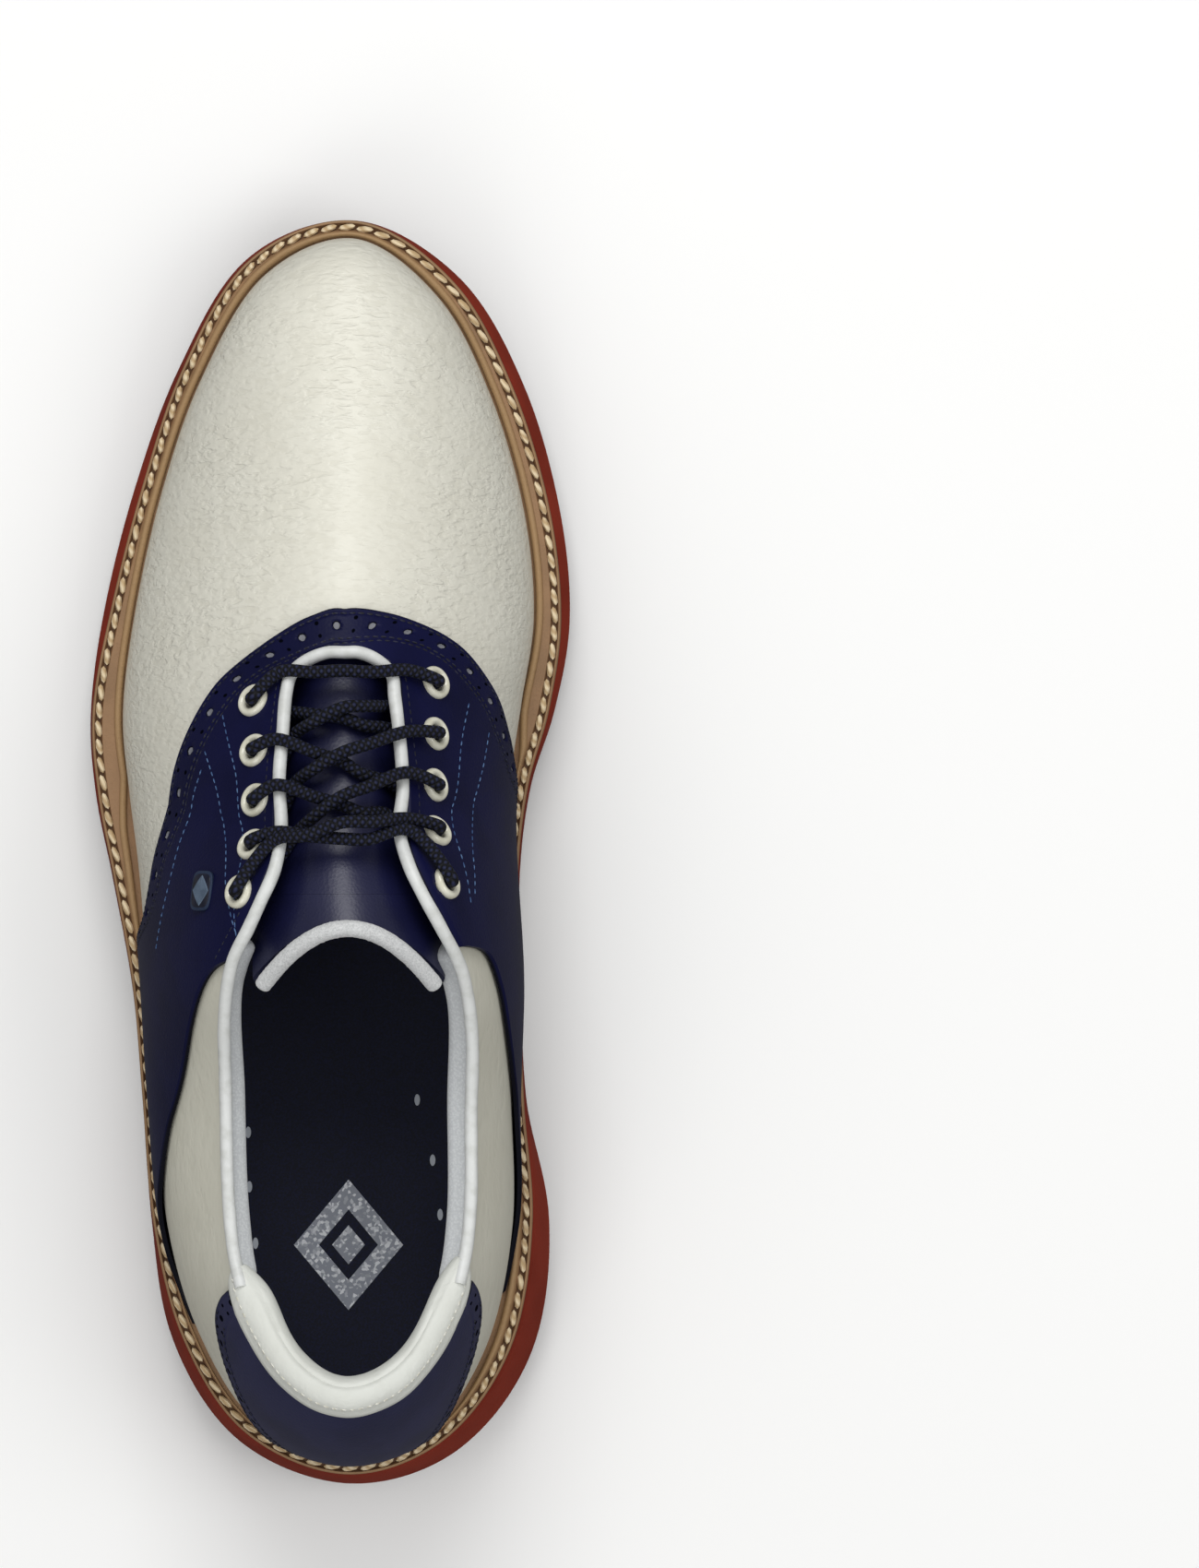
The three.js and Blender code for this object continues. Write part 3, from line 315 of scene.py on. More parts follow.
def distances(points):  # millimetres from each of the four borders of a grid, along its rows and columns
    down = np.linalg.norm(np.diff(points, axis=0), axis=-1)
    over = np.linalg.norm(np.diff(points, axis=1), axis=-1)
    fromFirstRow = np.concatenate([np.zeros((1, points.shape[1])), np.cumsum(down, 0)])
    fromFirstColumn = np.concatenate([np.zeros((points.shape[0], 1)), np.cumsum(over, 1)], 1)
    return (fromFirstRow, fromFirstRow[-1:] - fromFirstRow,
            fromFirstColumn, fromFirstColumn[:, -1:] - fromFirstColumn)


def rolled(distance, radius):  # how far a cut edge is rounded down, 1 at the edge and 0 past the radius
    t = np.clip(1 - distance / radius, 0, 1)
    return 1 - np.sqrt(1 - t * t)


def spread(count, crowd=0.5):  # values from 0 to 1, closer together at both ends
    t = np.linspace(0, 1, count)
    return mix(t, 0.5 - 0.5 * np.cos(np.pi * t), crowd)


def resample(points, pitch, *others):  # places an even pitch apart along a line, with other values there
    length = np.concatenate([[0], np.cumsum(np.linalg.norm(np.diff(points, axis=0), axis=1))])
    count = max(int(round(length[-1] / pitch)), 1)
    at = np.linspace(0, length[-1], count + 1)
    return [np.stack([np.interp(at, length, line[:, k]) for k in range(line.shape[1])], -1)
            for line in (points, *others)]


def catmullRom(points, steps):  # a curve through points, with uneven ones kept from looping
    points = np.asarray(points, float)
    points = np.concatenate([[2 * points[0] - points[1]], points, [2 * points[-1] - points[-2]]])
    gap = np.sqrt(np.linalg.norm(np.diff(points, axis=0), axis=1))[:, None]
    a, b, c, d = points[:-3], points[1:-2], points[2:-1], points[3:]
    before, here, after = gap[:-2], gap[1:-1], gap[2:]
    start = ((b - a) / before - (c - a) / (before + here) + (c - b) / here) * here
    end = ((c - b) / here - (d - b) / (here + after) + (d - c) / after) * here
    t = (np.arange(steps) / steps)[:, None, None]
    curve = b + start * t + (-3 * b + 3 * c - 2 * start - end) * t**2 + (2 * b - 2 * c + start + end) * t**3
    return np.concatenate([curve.transpose(1, 0, 2).reshape(-1, points.shape[1]), points[-2:-1]])


def carriedFrames(points, firstNormal):  # tangent, normal and side, turned as little as possible
    tangents = unit(np.gradient(points, axis=0))
    normals = np.empty_like(points)
    normal = np.asarray(firstNormal, float)
    for k, tangent in enumerate(tangents):
        normal = unit(normal - tangent * (normal @ tangent))
        normals[k] = normal
    return tangents, normals, np.cross(tangents, normals)


def tube(points, normals, sides, radius, sideCount=16, widthRatio=1):
    # rings along a line, each a circle or an oval across it, closed at both ends
    angle = np.linspace(0, 2 * np.pi, sideCount + 1)
    radius = np.broadcast_to(radius, (len(points), sideCount + 1))[..., None]
    ring = (points[:, None] + radius * (np.cos(angle)[None, :, None] * normals[:, None]
                                        + widthRatio * np.sin(angle)[None, :, None] * sides[:, None]))
    ring[:, -1] = ring[:, 0]
    length = np.concatenate([[0], np.cumsum(np.linalg.norm(np.diff(points, axis=0), axis=1))])
    first = np.broadcast_to(points[0], ring[:1].shape)
    last = np.broadcast_to(points[-1], ring[:1].shape)
    uv = np.stack(np.broadcast_arrays(length[:, None], angle[None] / (2 * np.pi)), -1)
    uv = np.concatenate([uv[:1], uv, uv[-1:]])
    return patch(np.concatenate([first, ring, last]), uv)


def revolve(profile, centre, axis, segments):  # a closed outline of radius and height turned about an axis
    axis = unit(np.asarray(axis, float))
    side = unit(np.cross(axis, (0.3, 0.2, 1) if abs(axis[2]) < 0.9 else (1, 0.2, 0)))
    other = np.cross(axis, side)
    angle = np.linspace(0, 2 * np.pi, segments + 1)
    angle[-1] = 0
    spoke = np.cos(angle)[:, None] * side + np.sin(angle)[:, None] * other
    profile = np.asarray(profile, float)
    grid = centre + spoke[:, None] * profile[None, :, :1] + axis * profile[None, :, 1:]
    return patch(grid)


def seeds(centres, directions, normals, size, rounds=6, rings=5):  # one smooth grain for each stitch
    length, width, height = size
    t = np.linspace(0, np.pi, rings)
    angle = np.linspace(0, 2 * np.pi, rounds + 1)
    angle[-1] = 0
    along = -np.cos(t)[:, None] * np.ones(rounds + 1)
    thick = np.sin(t)[:, None] ** 0.85
    shape = np.stack([along * length / 2, thick * np.cos(angle) * width / 2,
                      thick * np.sin(angle) * height / 2], -1)
    sides = np.cross(normals, directions)
    axes = np.stack([directions, sides, normals], 1)
    placed = centres[:, None, None] + np.einsum("ijk,nkl->nijl", shape, axes)
    return [patch(one) for one in placed]


def stitchSeeds(line, normals, pitch, size, turn=0.0):  # grains end to end along a line, turned in degrees
    places, ups = resample(line, pitch, normals)
    middles = (places[1:] + places[:-1]) / 2
    ups = unit(ups[1:] + ups[:-1])
    directions = unit(np.diff(places, axis=0))
    directions = unit(directions + math.tan(math.radians(turn)) * np.cross(ups, directions))
    return seeds(middles, directions, ups, size)


def skinLine(u, h, offset):
    return onSkin(u, h, np.full(np.shape(u), float(offset))), skinNormal(u, h)


print("stage: form and mesh tools")


# materials
multiply, subtract, plus, absolute, divide, below = (
    {"operation": name} for name in ("MULTIPLY", "SUBTRACT", "ADD", "ABSOLUTE", "DIVIDE", "LESS_THAN"))
smoothly = {"interpolation_type": "SMOOTHSTEP"}
inColour = {"data_type": "RGBA"}


def scaleFor(size):  # a texture's scale on Object coordinates for a feature this many millimetres wide
    return 1 / (size * mm)


def newMaterial(name):
    material = bpy.data.materials.new(name)
    material.use_nodes = True
    material.node_tree.nodes.clear()
    return material


def add(material, kind, inputs=(), out=None, **settings):
    # one node with its settings, its values and its links; `out` is the socket to hand back
    made = material.node_tree.nodes.new("ShaderNode" + kind)
    for key, value in settings.items():
        setattr(made, key, value)
    for key, value in (inputs if isinstance(inputs, dict) else dict(enumerate(inputs))).items():
        if isinstance(value, bpy.types.NodeSocket):
            material.node_tree.links.new(value, made.inputs[key])
        else:
            made.inputs[key].default_value = asRgba(value) if isinstance(value, str) else value
    return made if out is None else made.outputs[out]


def finish(material, colour, height=None, depth=0.1, **shader):  # depth of the bump in millimetres
    inputs = {"Base Color": colour}
    inputs.update({key.replace("_", " "): value for key, value in shader.items()})
    if height is not None:
        bump = {"Height": height, "Strength": 1.0, "Distance": depth * mm}
        inputs["Normal"] = add(material, "Bump", bump, 0)
    add(material, "OutputMaterial", {"Surface": add(material, "BsdfPrincipled", inputs, 0)})
    return material


def mottled(material, colour, shade, size, span=(0.35, 0.7), most=1.0, **noise):
    # a colour that turns to its shade in soft patches of a size in millimetres, and the pattern of them
    place = add(material, "TexCoord", (), "Object")
    pattern = add(material, "TexNoise", {"Vector": place, "Scale": scaleFor(size), **noise}, 0)
    much = add(material, "MapRange", (pattern, *span, 0.0, most), 0, **smoothly)
    return add(material, "Mix", {0: much, 6: colour, 7: shade}, 2, **inColour), pattern


def withCutEdge(material, colour, cut, start, end):  # the raw edge of the leather, where it is cut
    nearEdge = add(material, "Attribute", (), "Fac", attribute_name="edge")
    much = add(material, "MapRange", (nearEdge, start, end, 1.0, 0.0), 0, **smoothly)
    return add(material, "Mix", {0: much, 6: colour, 7: cut}, 2, **inColour)


# Full-grain cowhide, tumbled and finished cream: soft pebbles drawn out across the foot, a soft even gloss,
# and painted shade that darkens the low valleys of the crinkle.
def creamLeather(name, look):
    material = newMaterial(name)
    place = add(material, "TexCoord", (), "Object")
    scales = [tuple(scaleFor(size) for size in look[key]) for key in ("pebble", "crinkle")]
    drawnOut = [add(material, "Mapping", {"Vector": place, "Scale": scale}, 0) for scale in scales]
    pebbles = add(material, "TexVoronoi", {"Vector": drawnOut[0], "Scale": 1.0}, "Distance",
                  feature="SMOOTH_F1")
    crinkle = add(material, "TexNoise", {"Vector": drawnOut[1], "Scale": 1.0, "Detail": 2.0,
                                         "Roughness": 0.55, "Distortion": 0.35}, 0)
    patches = add(material, "TexNoise", {"Vector": place, "Scale": scaleFor(26)}, 0)
    where = add(material, "MapRange", (patches, 0.35, 0.65, 0.45, 1.0), 0, **smoothly)
    folds = add(material, "MapRange", (crinkle, 0.34, 0.6), 0, **smoothly)
    waves = add(material, "Math", (folds, where), 0, **multiply)
    bumps = add(material, "Math", (pebbles, look["pebbleShare"]), 0, **multiply)
    height = add(material, "Math", (waves, bumps), 0, **subtract)
    # painted shade: where the crinkle is low, the colour darkens towards the valley shade colour
    low = add(material, "MapRange", (crinkle, 0.3, 0.5, look["valleyShade"], 0.0), 0, **smoothly)
    colour = add(material, "Mix", {0: low, 6: look["colour"], 7: look["valleyShadeColour"]}, 2, **inColour)
    colour = mottled(material, colour, look["shade"], 18, most=0.3)[0]
    colour = withCutEdge(material, colour, look["rawEdge"], 0.25, 0.75)
    return finish(material, colour, height, look["depth"], Roughness=look["roughness"],
                  Specular_IOR_Level=0.4)


pebbledCream = creamLeather("pebbledCreamLeather", {
    "pebble": (2.4, 1.2, 1.8), "pebbleShare": 0.8, "crinkle": (4.6, 1.5, 3.2), "valleyShade": 0.15, "depth": 0.19,
    "roughness": 0.42, "colour": "#e6e4d7", "shade": "#dcd9ca",
    "valleyShadeColour": "#c0bba8", "rawEdge": "#3a342a"})
smoothCream = creamLeather("smoothCreamLeather", {
    "pebble": (0.9, 1.2, 0.9), "pebbleShare": 0.5, "crinkle": (2.6, 5, 3), "valleyShade": 0.1, "depth": 0.07,
    "roughness": 0.44, "colour": "#dcdacb", "shade": "#d0cdbc",
    "valleyShadeColour": "#b5b3a0", "rawEdge": "#2a251e"})
collarCream = creamLeather("collarCreamLeather", {
    "pebble": (0.7, 0.7, 0.7), "pebbleShare": 0.6, "crinkle": (4, 4, 2), "valleyShade": 0.1, "depth": 0.07,
    "roughness": 0.5, "colour": "#dddfd8", "shade": "#d2d3ca",
    "valleyShadeColour": "#bfc0b6", "rawEdge": "#d6d7ce"})


def punchedHoles(material, punched):
    # Big holes along a line with a pair of small ones between: the big holes, their cores, the small ones.
    uv = add(material, "SeparateXYZ", (add(material, "TexCoord", (), "UV"),))
    half, radius, pairRadius = punched["pitch"] / 2, punched["radius"], punched["pairRadius"]
    shifted = add(material, "Math", (uv.outputs[0], half), 0, **plus)
    beside = add(material, "Math", (uv.outputs[1], punched["inset"]), 0, **subtract)
    eitherSide = add(material, "Math", (beside,), 0, **absolute)
    besidePair = add(material, "Math", (eitherSide, punched["pairInset"]), 0, **subtract)
    band = add(material, "Attribute", (), "Fac", attribute_name="band")
    holes = []
    for along, off, start, end in ((uv.outputs[0], beside, radius - 0.12, radius),
                                   (uv.outputs[0], beside, radius * 0.7, radius * 0.85),
                                   (shifted, besidePair, pairRadius - 0.1, pairRadius)):
        wrapped = add(material, "Math", (along, half, -half), 0, operation="WRAP")
        fromCentre = add(material, "CombineXYZ", (wrapped, off), 0)
        away = add(material, "VectorMath", (fromCentre,), "Value", operation="LENGTH")
        inside = add(material, "MapRange", (away, start, end, 1.0, 0.0), 0, **smoothly)
        holes.append(add(material, "Math", (inside, band), 0, **multiply))
    return holes


# Corrected-grain navy leather: fine pores, a waxed gloss, and punched holes in painted shade: near black
# inside, with a core in the colour of the layer beneath as it looks in shadow.
def navyLeather(name, look, punched=None):
    material = newMaterial(name)
    place = add(material, "TexCoord", (), "Object")
    pores = add(material, "TexVoronoi", {"Vector": place, "Scale": scaleFor(0.75)}, "Distance")
    colour = mottled(material, look["colour"], look["shade"], 14, Detail=4.0)[0]
    colour = withCutEdge(material, colour, look["rawEdge"], 0.2, 0.8)
    specular = look["specular"]
    if punched:
        bigHole, core, smallHole = punchedHoles(material, punched)
        holes = add(material, "Math", (bigHole, smallHole), 0, operation="MAXIMUM")
        leatherLeft = add(material, "Math", (1.0, holes), 0, **subtract)
        specular = add(material, "Math", (leatherLeft, specular), 0, **multiply)  # no gloss inside a hole
        # painted shade: each hole is painted near black, and its core in the shaded colour given as under
        colour = add(material, "Mix", {0: holes, 6: colour, 7: "#07080f"}, 2, **inColour)
        colour = add(material, "Mix", {0: core, 6: colour, 7: punched["under"]}, 2, **inColour)
    return finish(material, colour, pores, 0.03, Roughness=look["roughness"], Specular_IOR_Level=specular)


# under is painted shade: the colour of the layer beneath a hole as it looks in shadow
brogue = {"pitch": 10.4, "inset": 4.5, "pairInset": 1.75, "radius": 1.2, "pairRadius": 0.6,
          "under": "#85868c", "width": 8.6}
heelBrogue = {"pitch": 9.0, "inset": 3.4, "pairInset": 1.3, "radius": 1.0, "pairRadius": 0.6,
              "under": "#0a0b14"}
saddleNavy = navyLeather("waxedNavyLeather", {
    "colour": "#12143a", "shade": "#0f1132", "rawEdge": "#0a0b16", "roughness": 0.42,
    "specular": 0.1}, brogue)
tongueNavy = navyLeather("softNavyLeather", {
    "colour": "#13153a", "shade": "#101233", "rawEdge": "#0d0e22", "roughness": 0.4, "specular": 0.6})
heelNavy = navyLeather("brushedNavyLeather", {
    "colour": "#25274a", "shade": "#1f2140", "rawEdge": "#11121c", "roughness": 0.5,
    "specular": 0.3}, heelBrogue)


# A body of one stuff with soft patches of a shade, which are its bump too: coated piping, wool felt, baked
# enamel, and the fibre board, cork, steel, cut leather, nylon and zinc of the smaller and inner pieces.
def plainBody(name, colour, shade, size, depth, span=(0.35, 0.65), detail=4.0, noise=None, **shader):
    material = newMaterial(name)
    colour, pattern = mottled(material, colour, shade, size, span, Detail=detail, **(noise or {}))
    return finish(material, colour, pattern, depth, **shader)


# Knitted spacer lining: small round knit cells, matt, with a faint sheen.
def knittedLining(name, light, dark, cell, depth):
    material = newMaterial(name)
    place = add(material, "TexCoord", (), "Object")
    knit = add(material, "TexVoronoi", {"Vector": place, "Scale": scaleFor(cell)}, "Distance")
    between = add(material, "MapRange", (knit, 0.2, 0.7), 0, **smoothly)
    colour = add(material, "Mix", {0: between, 6: light, 7: dark}, 2, **inColour)
    return finish(material, colour, knit, depth, Roughness=0.9, Sheen_Weight=0.25)


# Braided polyester lace: strands cross both ways round it, with a painted highlight on the top of each.
def braidedLace(strandPitch=1.7, strandsRound=4.0):
    material = newMaterial("braidedLace")
    uv = add(material, "SeparateXYZ", (add(material, "TexCoord", (), "UV"),))
    along = add(material, "Math", (uv.outputs[0], 1 / strandPitch), 0, **multiply)
    around = add(material, "Math", (uv.outputs[1], strandsRound), 0, **multiply)
    turns = []
    for way in (plus, subtract):
        phase = add(material, "Math", (along, around), 0, **way)
        angle = add(material, "Math", (phase, math.pi), 0, **multiply)
        wave = add(material, "Math", (angle,), 0, operation="SINE")
        turns.append(add(material, "Math", (wave,), 0, **absolute))
    crossed = add(material, "Math", turns, 0, **multiply)
    lit = add(material, "MapRange", (crossed, 0.25, 0.95), 0, **smoothly)
    # painted highlight: the colour lightens on the top of each strand
    colour = add(material, "Mix", {0: lit, 6: "#04050b", 7: "#222745"}, 2, **inColour)
    return finish(material, colour, crossed, 0.45, Roughness=0.7, Specular_IOR_Level=0.3)


# Vegetable-tanned welt leather: fibrous tan, darker on the flat, with a painted highlight on the raised bead
# and the rounded outer edge and painted shade in the stitch groove.
def tannedWelt():
    material = newMaterial("tannedWelt")
    colour = mottled(material, "#967252", "#836347", 12)[0]
    # painted highlight and shade: the bead mark lightens the raised bead and rounded edge, the groove mark
    # darkens the stitch groove
    for name, tone in (("bead", "#a8875e"), ("groove", "#6b4b30")):
        share = add(material, "Attribute", (), "Fac", attribute_name=name)
        colour = add(material, "Mix", {0: share, 6: colour, 7: tone}, 2, **inColour)
    colour, fibres = mottled(material, colour, "#6d4d31", 0.8, (0.5, 0.8), 0.3, Detail=5.0, Roughness=0.7)
    return finish(material, colour, fibres, 0.12, Roughness=0.62)


# Waxed linen and nylon thread: plump stitches with a twist in the strands, painted light on the ridges of the
# twist and shaded in its grooves.
def twistedThread(name, light, dark, twist):
    material = newMaterial(name)
    place = add(material, "TexCoord", (), "Object")
    twists = add(material, "TexWave", {"Vector": place, "Scale": scaleFor(twist) / 6.3, "Distortion": 3.0,
                                       "Detail": 1.0}, "Fac", bands_direction="DIAGONAL")
    # painted highlight and shade: light where the twist stands high, dark where it is low
    colour = add(material, "Mix", {0: twists, 6: dark, 7: light}, 2, **inColour)
    return finish(material, colour, twists, 0.12, Roughness=0.75)


# Moulded rubber: a fine matt moulding texture under broad soft patches.
def mouldedRubber(name, colour, shade, roughness=0.55):
    material = newMaterial(name)
    place = add(material, "TexCoord", (), "Object")
    grit = add(material, "TexNoise", {"Vector": place, "Scale": scaleFor(0.6), "Detail": 4.0}, 0)
    colour = mottled(material, colour, shade, 20)[0]
    return finish(material, colour, grit, 0.06, Roughness=roughness, Specular_IOR_Level=0.08)


# Brushed polyester over foam: almost black navy, with a printed silver mark of plain diamonds whose flakes
# carry painted glints.
bedMotif = {"x": 4.7, "y": -93, "halfWidth": 13, "halfLength": 15.5, "frame": 0.54, "core": 0.3}
bedSlots = {"places": [(-19.2, -66.3), (-18.9, -79.2), (-17.4, -92.6), (21, -58.6), (24.7, -72.9),
                       (26.5, -85.8)],
            "halfWidth": 0.65, "halfLength": 1.35}


def printedFootbed():
    material = newMaterial("printedFootbed")
    objectPlace = add(material, "TexCoord", (), "Object")
    inMillimetres = add(material, "Mapping", {"Vector": objectPlace, "Scale": (scaleFor(1),) * 3}, 0)
    place = add(material, "SeparateXYZ", (inMillimetres,))

    def offset(axis, centre, half):  # how far out from a centre, 1 at half the width
        away = add(material, "Math", (place.outputs[axis], centre), 0, **subtract)
        return add(material, "Math", (add(material, "Math", (away,), 0, **absolute), half), 0, **divide)

    diamond = add(material, "Math", (offset(0, bedMotif["x"], bedMotif["halfWidth"]),
                                     offset(1, bedMotif["y"], bedMotif["halfLength"])), 0, **plus)
    outside, hollow, core = (add(material, "Math", (diamond, size), 0, **below)
                             for size in (1.0, bedMotif["frame"], bedMotif["core"]))
    frameOnly = add(material, "Math", (outside, hollow), 0, **subtract)
    printed = add(material, "Math", (frameOnly, core), 0, **plus)
    slots = 0.0
    for x, y in bedSlots["places"]:
        squares = [add(material, "Math", (offset(axis, centre, half), 2.0), 0, operation="POWER")
                   for axis, centre, half in ((0, x, bedSlots["halfWidth"]), (1, y, bedSlots["halfLength"]))]
        slot = add(material, "Math", (add(material, "Math", squares, 0, **plus), 1.0), 0, **below)
        slots = add(material, "Math", (slots, slot), 0, operation="MAXIMUM")
    # painted glints: the silver print is real, its flakes painted brighter or duller at random as glints
    flakes = add(material, "TexVoronoi", {"Vector": objectPlace, "Scale": scaleFor(0.7)}, "Color")
    glint = add(material, "MapRange", (flakes, 0.55, 0.85), 0, **smoothly)
    silver = add(material, "Mix", {0: glint, 6: "#9599a3", 7: "#e6e8ec"}, 2, **inColour)
    navy, nap = mottled(material, "#04071a", "#0a1030", 0.5, Detail=5.0)
    colour = add(material, "Mix", {0: printed, 6: navy, 7: silver}, 2, **inColour)
    colour = add(material, "Mix", {0: slots, 6: colour, 7: "#b9bec6"}, 2, **inColour)
    return finish(material, colour, nap, 0.1, Roughness=0.85)


piping = plainBody("coatedPiping", "#dfe1df", "#cfd1cd", 3, 0.04, (0.4, 0.75), Roughness=0.42)
felt = plainBody("woolFelt", "#c9cbcb", "#eceded", 0.5, 0.35, detail=6.0, noise={"Roughness": 0.75},
                 Roughness=1.0, Sheen_Weight=0.4)
enamel = plainBody("bakedEnamel", "#e9e7d6", "#dbd8c3", 2.5, 0.02, (0.35, 0.7), 2.0, Roughness=0.2,
                   Coat_Weight=0.5, Coat_Roughness=0.1)
greyKnit = knittedLining("greyKnitLining", "#cdd0d1", "#c0c3c5", 0.6, 0.05)
lace = braidedLace()
weltTan = tannedWelt()
weltThread = twistedThread("waxedLinenThread", "#ecd9b6", "#c2a67c", 0.7)
navyThread = twistedThread("navyNylonThread", "#23253c", "#0b0c18", 0.4)
blueThread = twistedThread("paleBlueThread", "#5d7da8", "#33507f", 0.4)
creamThread = twistedThread("creamNylonThread", "#e6e5db", "#c4c2b2", 0.4)
brick = mouldedRubber("brickRubber", "#883324", "#792c1f")
footbedPrint = printedFootbed()
board = plainBody("fibreBoard", "#4a4238", "#322c25", 2, 0.1, Roughness=0.9)
corkBody = plainBody("agglomeratedCork", "#a57f50", "#7d5b36", 2.5, 0.2, Roughness=0.95)
steel = plainBody("rolledSteel", "#a3a7ad", "#868a90", 6, 0.01, Roughness=0.35, Metallic=1.0)
midsoleLeather = plainBody("pressedMidsoleLeather", "#664830", "#4d3523", 1.2, 0.1, Roughness=0.7)
blackNylon = plainBody("mouldedNylon", "#1d1e22", "#15161a", 1.5, 0.03, Roughness=0.45)
cleatBody = plainBody("mouldedPolyurethane", "#3a3d48", "#2d3039", 2, 0.04, Roughness=0.42)
badgeMetal = plainBody("satinZinc", "#66778c", "#566679", 3, 0.02, Roughness=0.45, Metallic=0.3)
badgeEdge = plainBody("bluedZinc", "#2b3a55", "#22304a", 3, 0.02, Roughness=0.45, Metallic=0.3)
badgeDark = plainBody("darkLacquer", "#10142a", "#0c1020", 3, 0.02, Roughness=0.3)
print("stage: materials")


# the vamp: one cream piece from under the saddle round the toe
vampLook = {"rows": 170, "toeRows": 60, "columns": 161, "toeStart": 10.4}
backEdge = lineThrough([(-1, 4.9), (-0.8, 5.05), (-0.66, 5.25), (-0.62, 5.7), (-0.59, 6.4), (-0.56, 6.95),
                        (-0.51, 7.5), (-0.44, 8.05), (-0.34, 8.5), (-0.225, 8.85), (-0.12, 9.1), (0, 9.22),
                        (0.145, 9.15), (0.285, 8.9), (0.41, 8.6), (0.515, 8.25), (0.63, 7.75), (0.72, 7.25),
                        (0.82, 6.7), (1, 6.2)])


def layerShell(u, h, layer, relief=0.0, openLast=False, radius=0.5, uv=None, rollSides=(0, 1, 2, 3), **marks):
    # the outer face sits on the layer's high side, its free edges rolled down over `radius`
    middle = onSkin(u, h, np.full(u.shape, layer[1]))
    gaps = distances(middle)
    edge = np.min([gaps[k] for k in rollSides], axis=0) if rollSides else np.full(u.shape, 9.0)
    drop = rolled(edge, radius) * 0.8 * (layer[1] - layer[0])
    outer = onSkin(u, h, layer[1] - drop + relief)
    inner = onSkin(u, h, np.full(u.shape, layer[0]))
    return shell(outer, inner, uv, openLast=openLast, edge=edge, **marks)


def makeVamp():
    c = np.linspace(-1, 1, vampLook["columns"])[None]
    back = mix(backEdge(c), vampLook["toeStart"], np.linspace(0, 1, vampLook["rows"])[:, None])
    front = mix(vampLook["toeStart"], 13, np.linspace(0, 1, vampLook["toeRows"])[1:, None]) + 0 * c
    q = np.concatenate([back, front])
    u, h = across(q, np.broadcast_to(c, q.shape))
    place = skin(u, h)
    swell = 0.12 * np.sin(place[..., 1] / 5.3 + 1.7 * np.sin(place[..., 0] / 17)) * smooth(9.3, 10.4, q)
    swell *= smooth(13, 12.2, q) * smooth(0, 0.3, h)
    makePiece("vampLeather", layerShell(u, h, leather, swell, True, rollSides=(0,)), pebbledCream, ["vamp"])


def makeVampLining():
    c = np.linspace(-1, 1, 65)[None]
    stations = np.concatenate([np.linspace(9.4, 12.1, 40), np.linspace(12.1, 13, 20)[1:]])[:, None]
    u, h = across(stations + 0 * c, c + 0 * stations)
    patches = layerShell(u, h, lining, openLast=True, rollSides=())
    for side in (1, -1):
        c = np.linspace(0.5, 1, 17)[None] * side
        q = np.linspace(6.75, 9.4, 40)[:, None]
        u, h = across(q + 0 * c, c + 0 * q)
        patches += layerShell(u, h, lining, rollSides=())
    makePiece("vampLiningKnit", patches, greyKnit, ["vamp_lining"])


# the saddle: a navy horseshoe, each pair a place on its outer edge and the one across from it inside
saddlePairs = [
    ((2.4, 0), (2.41, 0.02)), ((2.8, 0), (2.85, 0.11)), ((3.1, 0), (3.2, 0.19)), ((3.4, 0), (3.5, 0.255)),
    ((3.7, 0), (3.8, 0.33)), ((4, 0), (4.1, 0.41)), ((4.3, 0), (4.4, 0.52)), ((4.6, 0), (4.7, 0.62)),
    ((4.85, 0), (5, 0.69)), ((5.05, 0), (5.28, 0.748)), ((5.2, 0), (5.38, 0.81)),
    ((5.3, 0), (5.43, 0.9)), ((5.4, 0), (5.46, 0.978)), ((5.45, 0), (5.46, 0.978)), ((5.85, 0), (5.7, 0.968)),
    ((6.2, 0), (6.05, 0.932)), ((6.6, 0.02), (6.45, 0.84)), ((7.12, 0.19), (6.85, 0.765)),
    ((7.64, 0.285), (7.4, 0.752)), ((8.13, 0.365), (7.95, 0.765)), ((8.56, 0.47), (8.4, 0.78)),
    ((8.88, 0.565), (8.72, 0.797)), ((9.13, 0.675), (8.92, 0.86)), ((9.37, 0.83), (9.04, 0.93)),
    ((9.505, 1), (9.08, 1)), ((-9.37, 0.88), (-9.04, 0.93)), ((-9.13, 0.77), (-8.92, 0.86)),
    ((-8.78, 0.652), (-8.72, 0.8)), ((-8.45, 0.568), (-8.4, 0.795)), ((-7.97, 0.495), (-7.95, 0.79)),
    ((-7.45, 0.44), (-7.4, 0.782)), ((-6.92, 0.405), (-6.9, 0.785)), ((-6.37, 0.385), (-6.45, 0.85)),
    ((-5.9, 0.365), (-6, 0.922)), ((-5.58, 0.31), (-5.65, 0.955)), ((-5.4, 0.17), (-5.35, 0.975)),
    ((-5.28, 0.03), (-5.2, 0.982)), ((-5.22, 0), (-5.2, 0.982)), ((-5.05, 0), (-5.12, 0.915)),
    ((-4.8, 0), (-4.97, 0.86)), ((-4.5, 0), (-4.6, 0.775)), ((-4.2, 0), (-4.26, 0.7)),
    ((-3.9, 0), (-4, 0.62)), ((-3.6, 0), (-3.75, 0.52)), ((-3.25, 0), (-3.4, 0.4)),
    ((-2.95, 0), (-3.1, 0.28)), ((-2.65, 0), (-2.75, 0.16)), ((-2.35, 0), (-2.4, 0.06)),
    ((-2.05, 0), (-2.06, 0.015)),
]
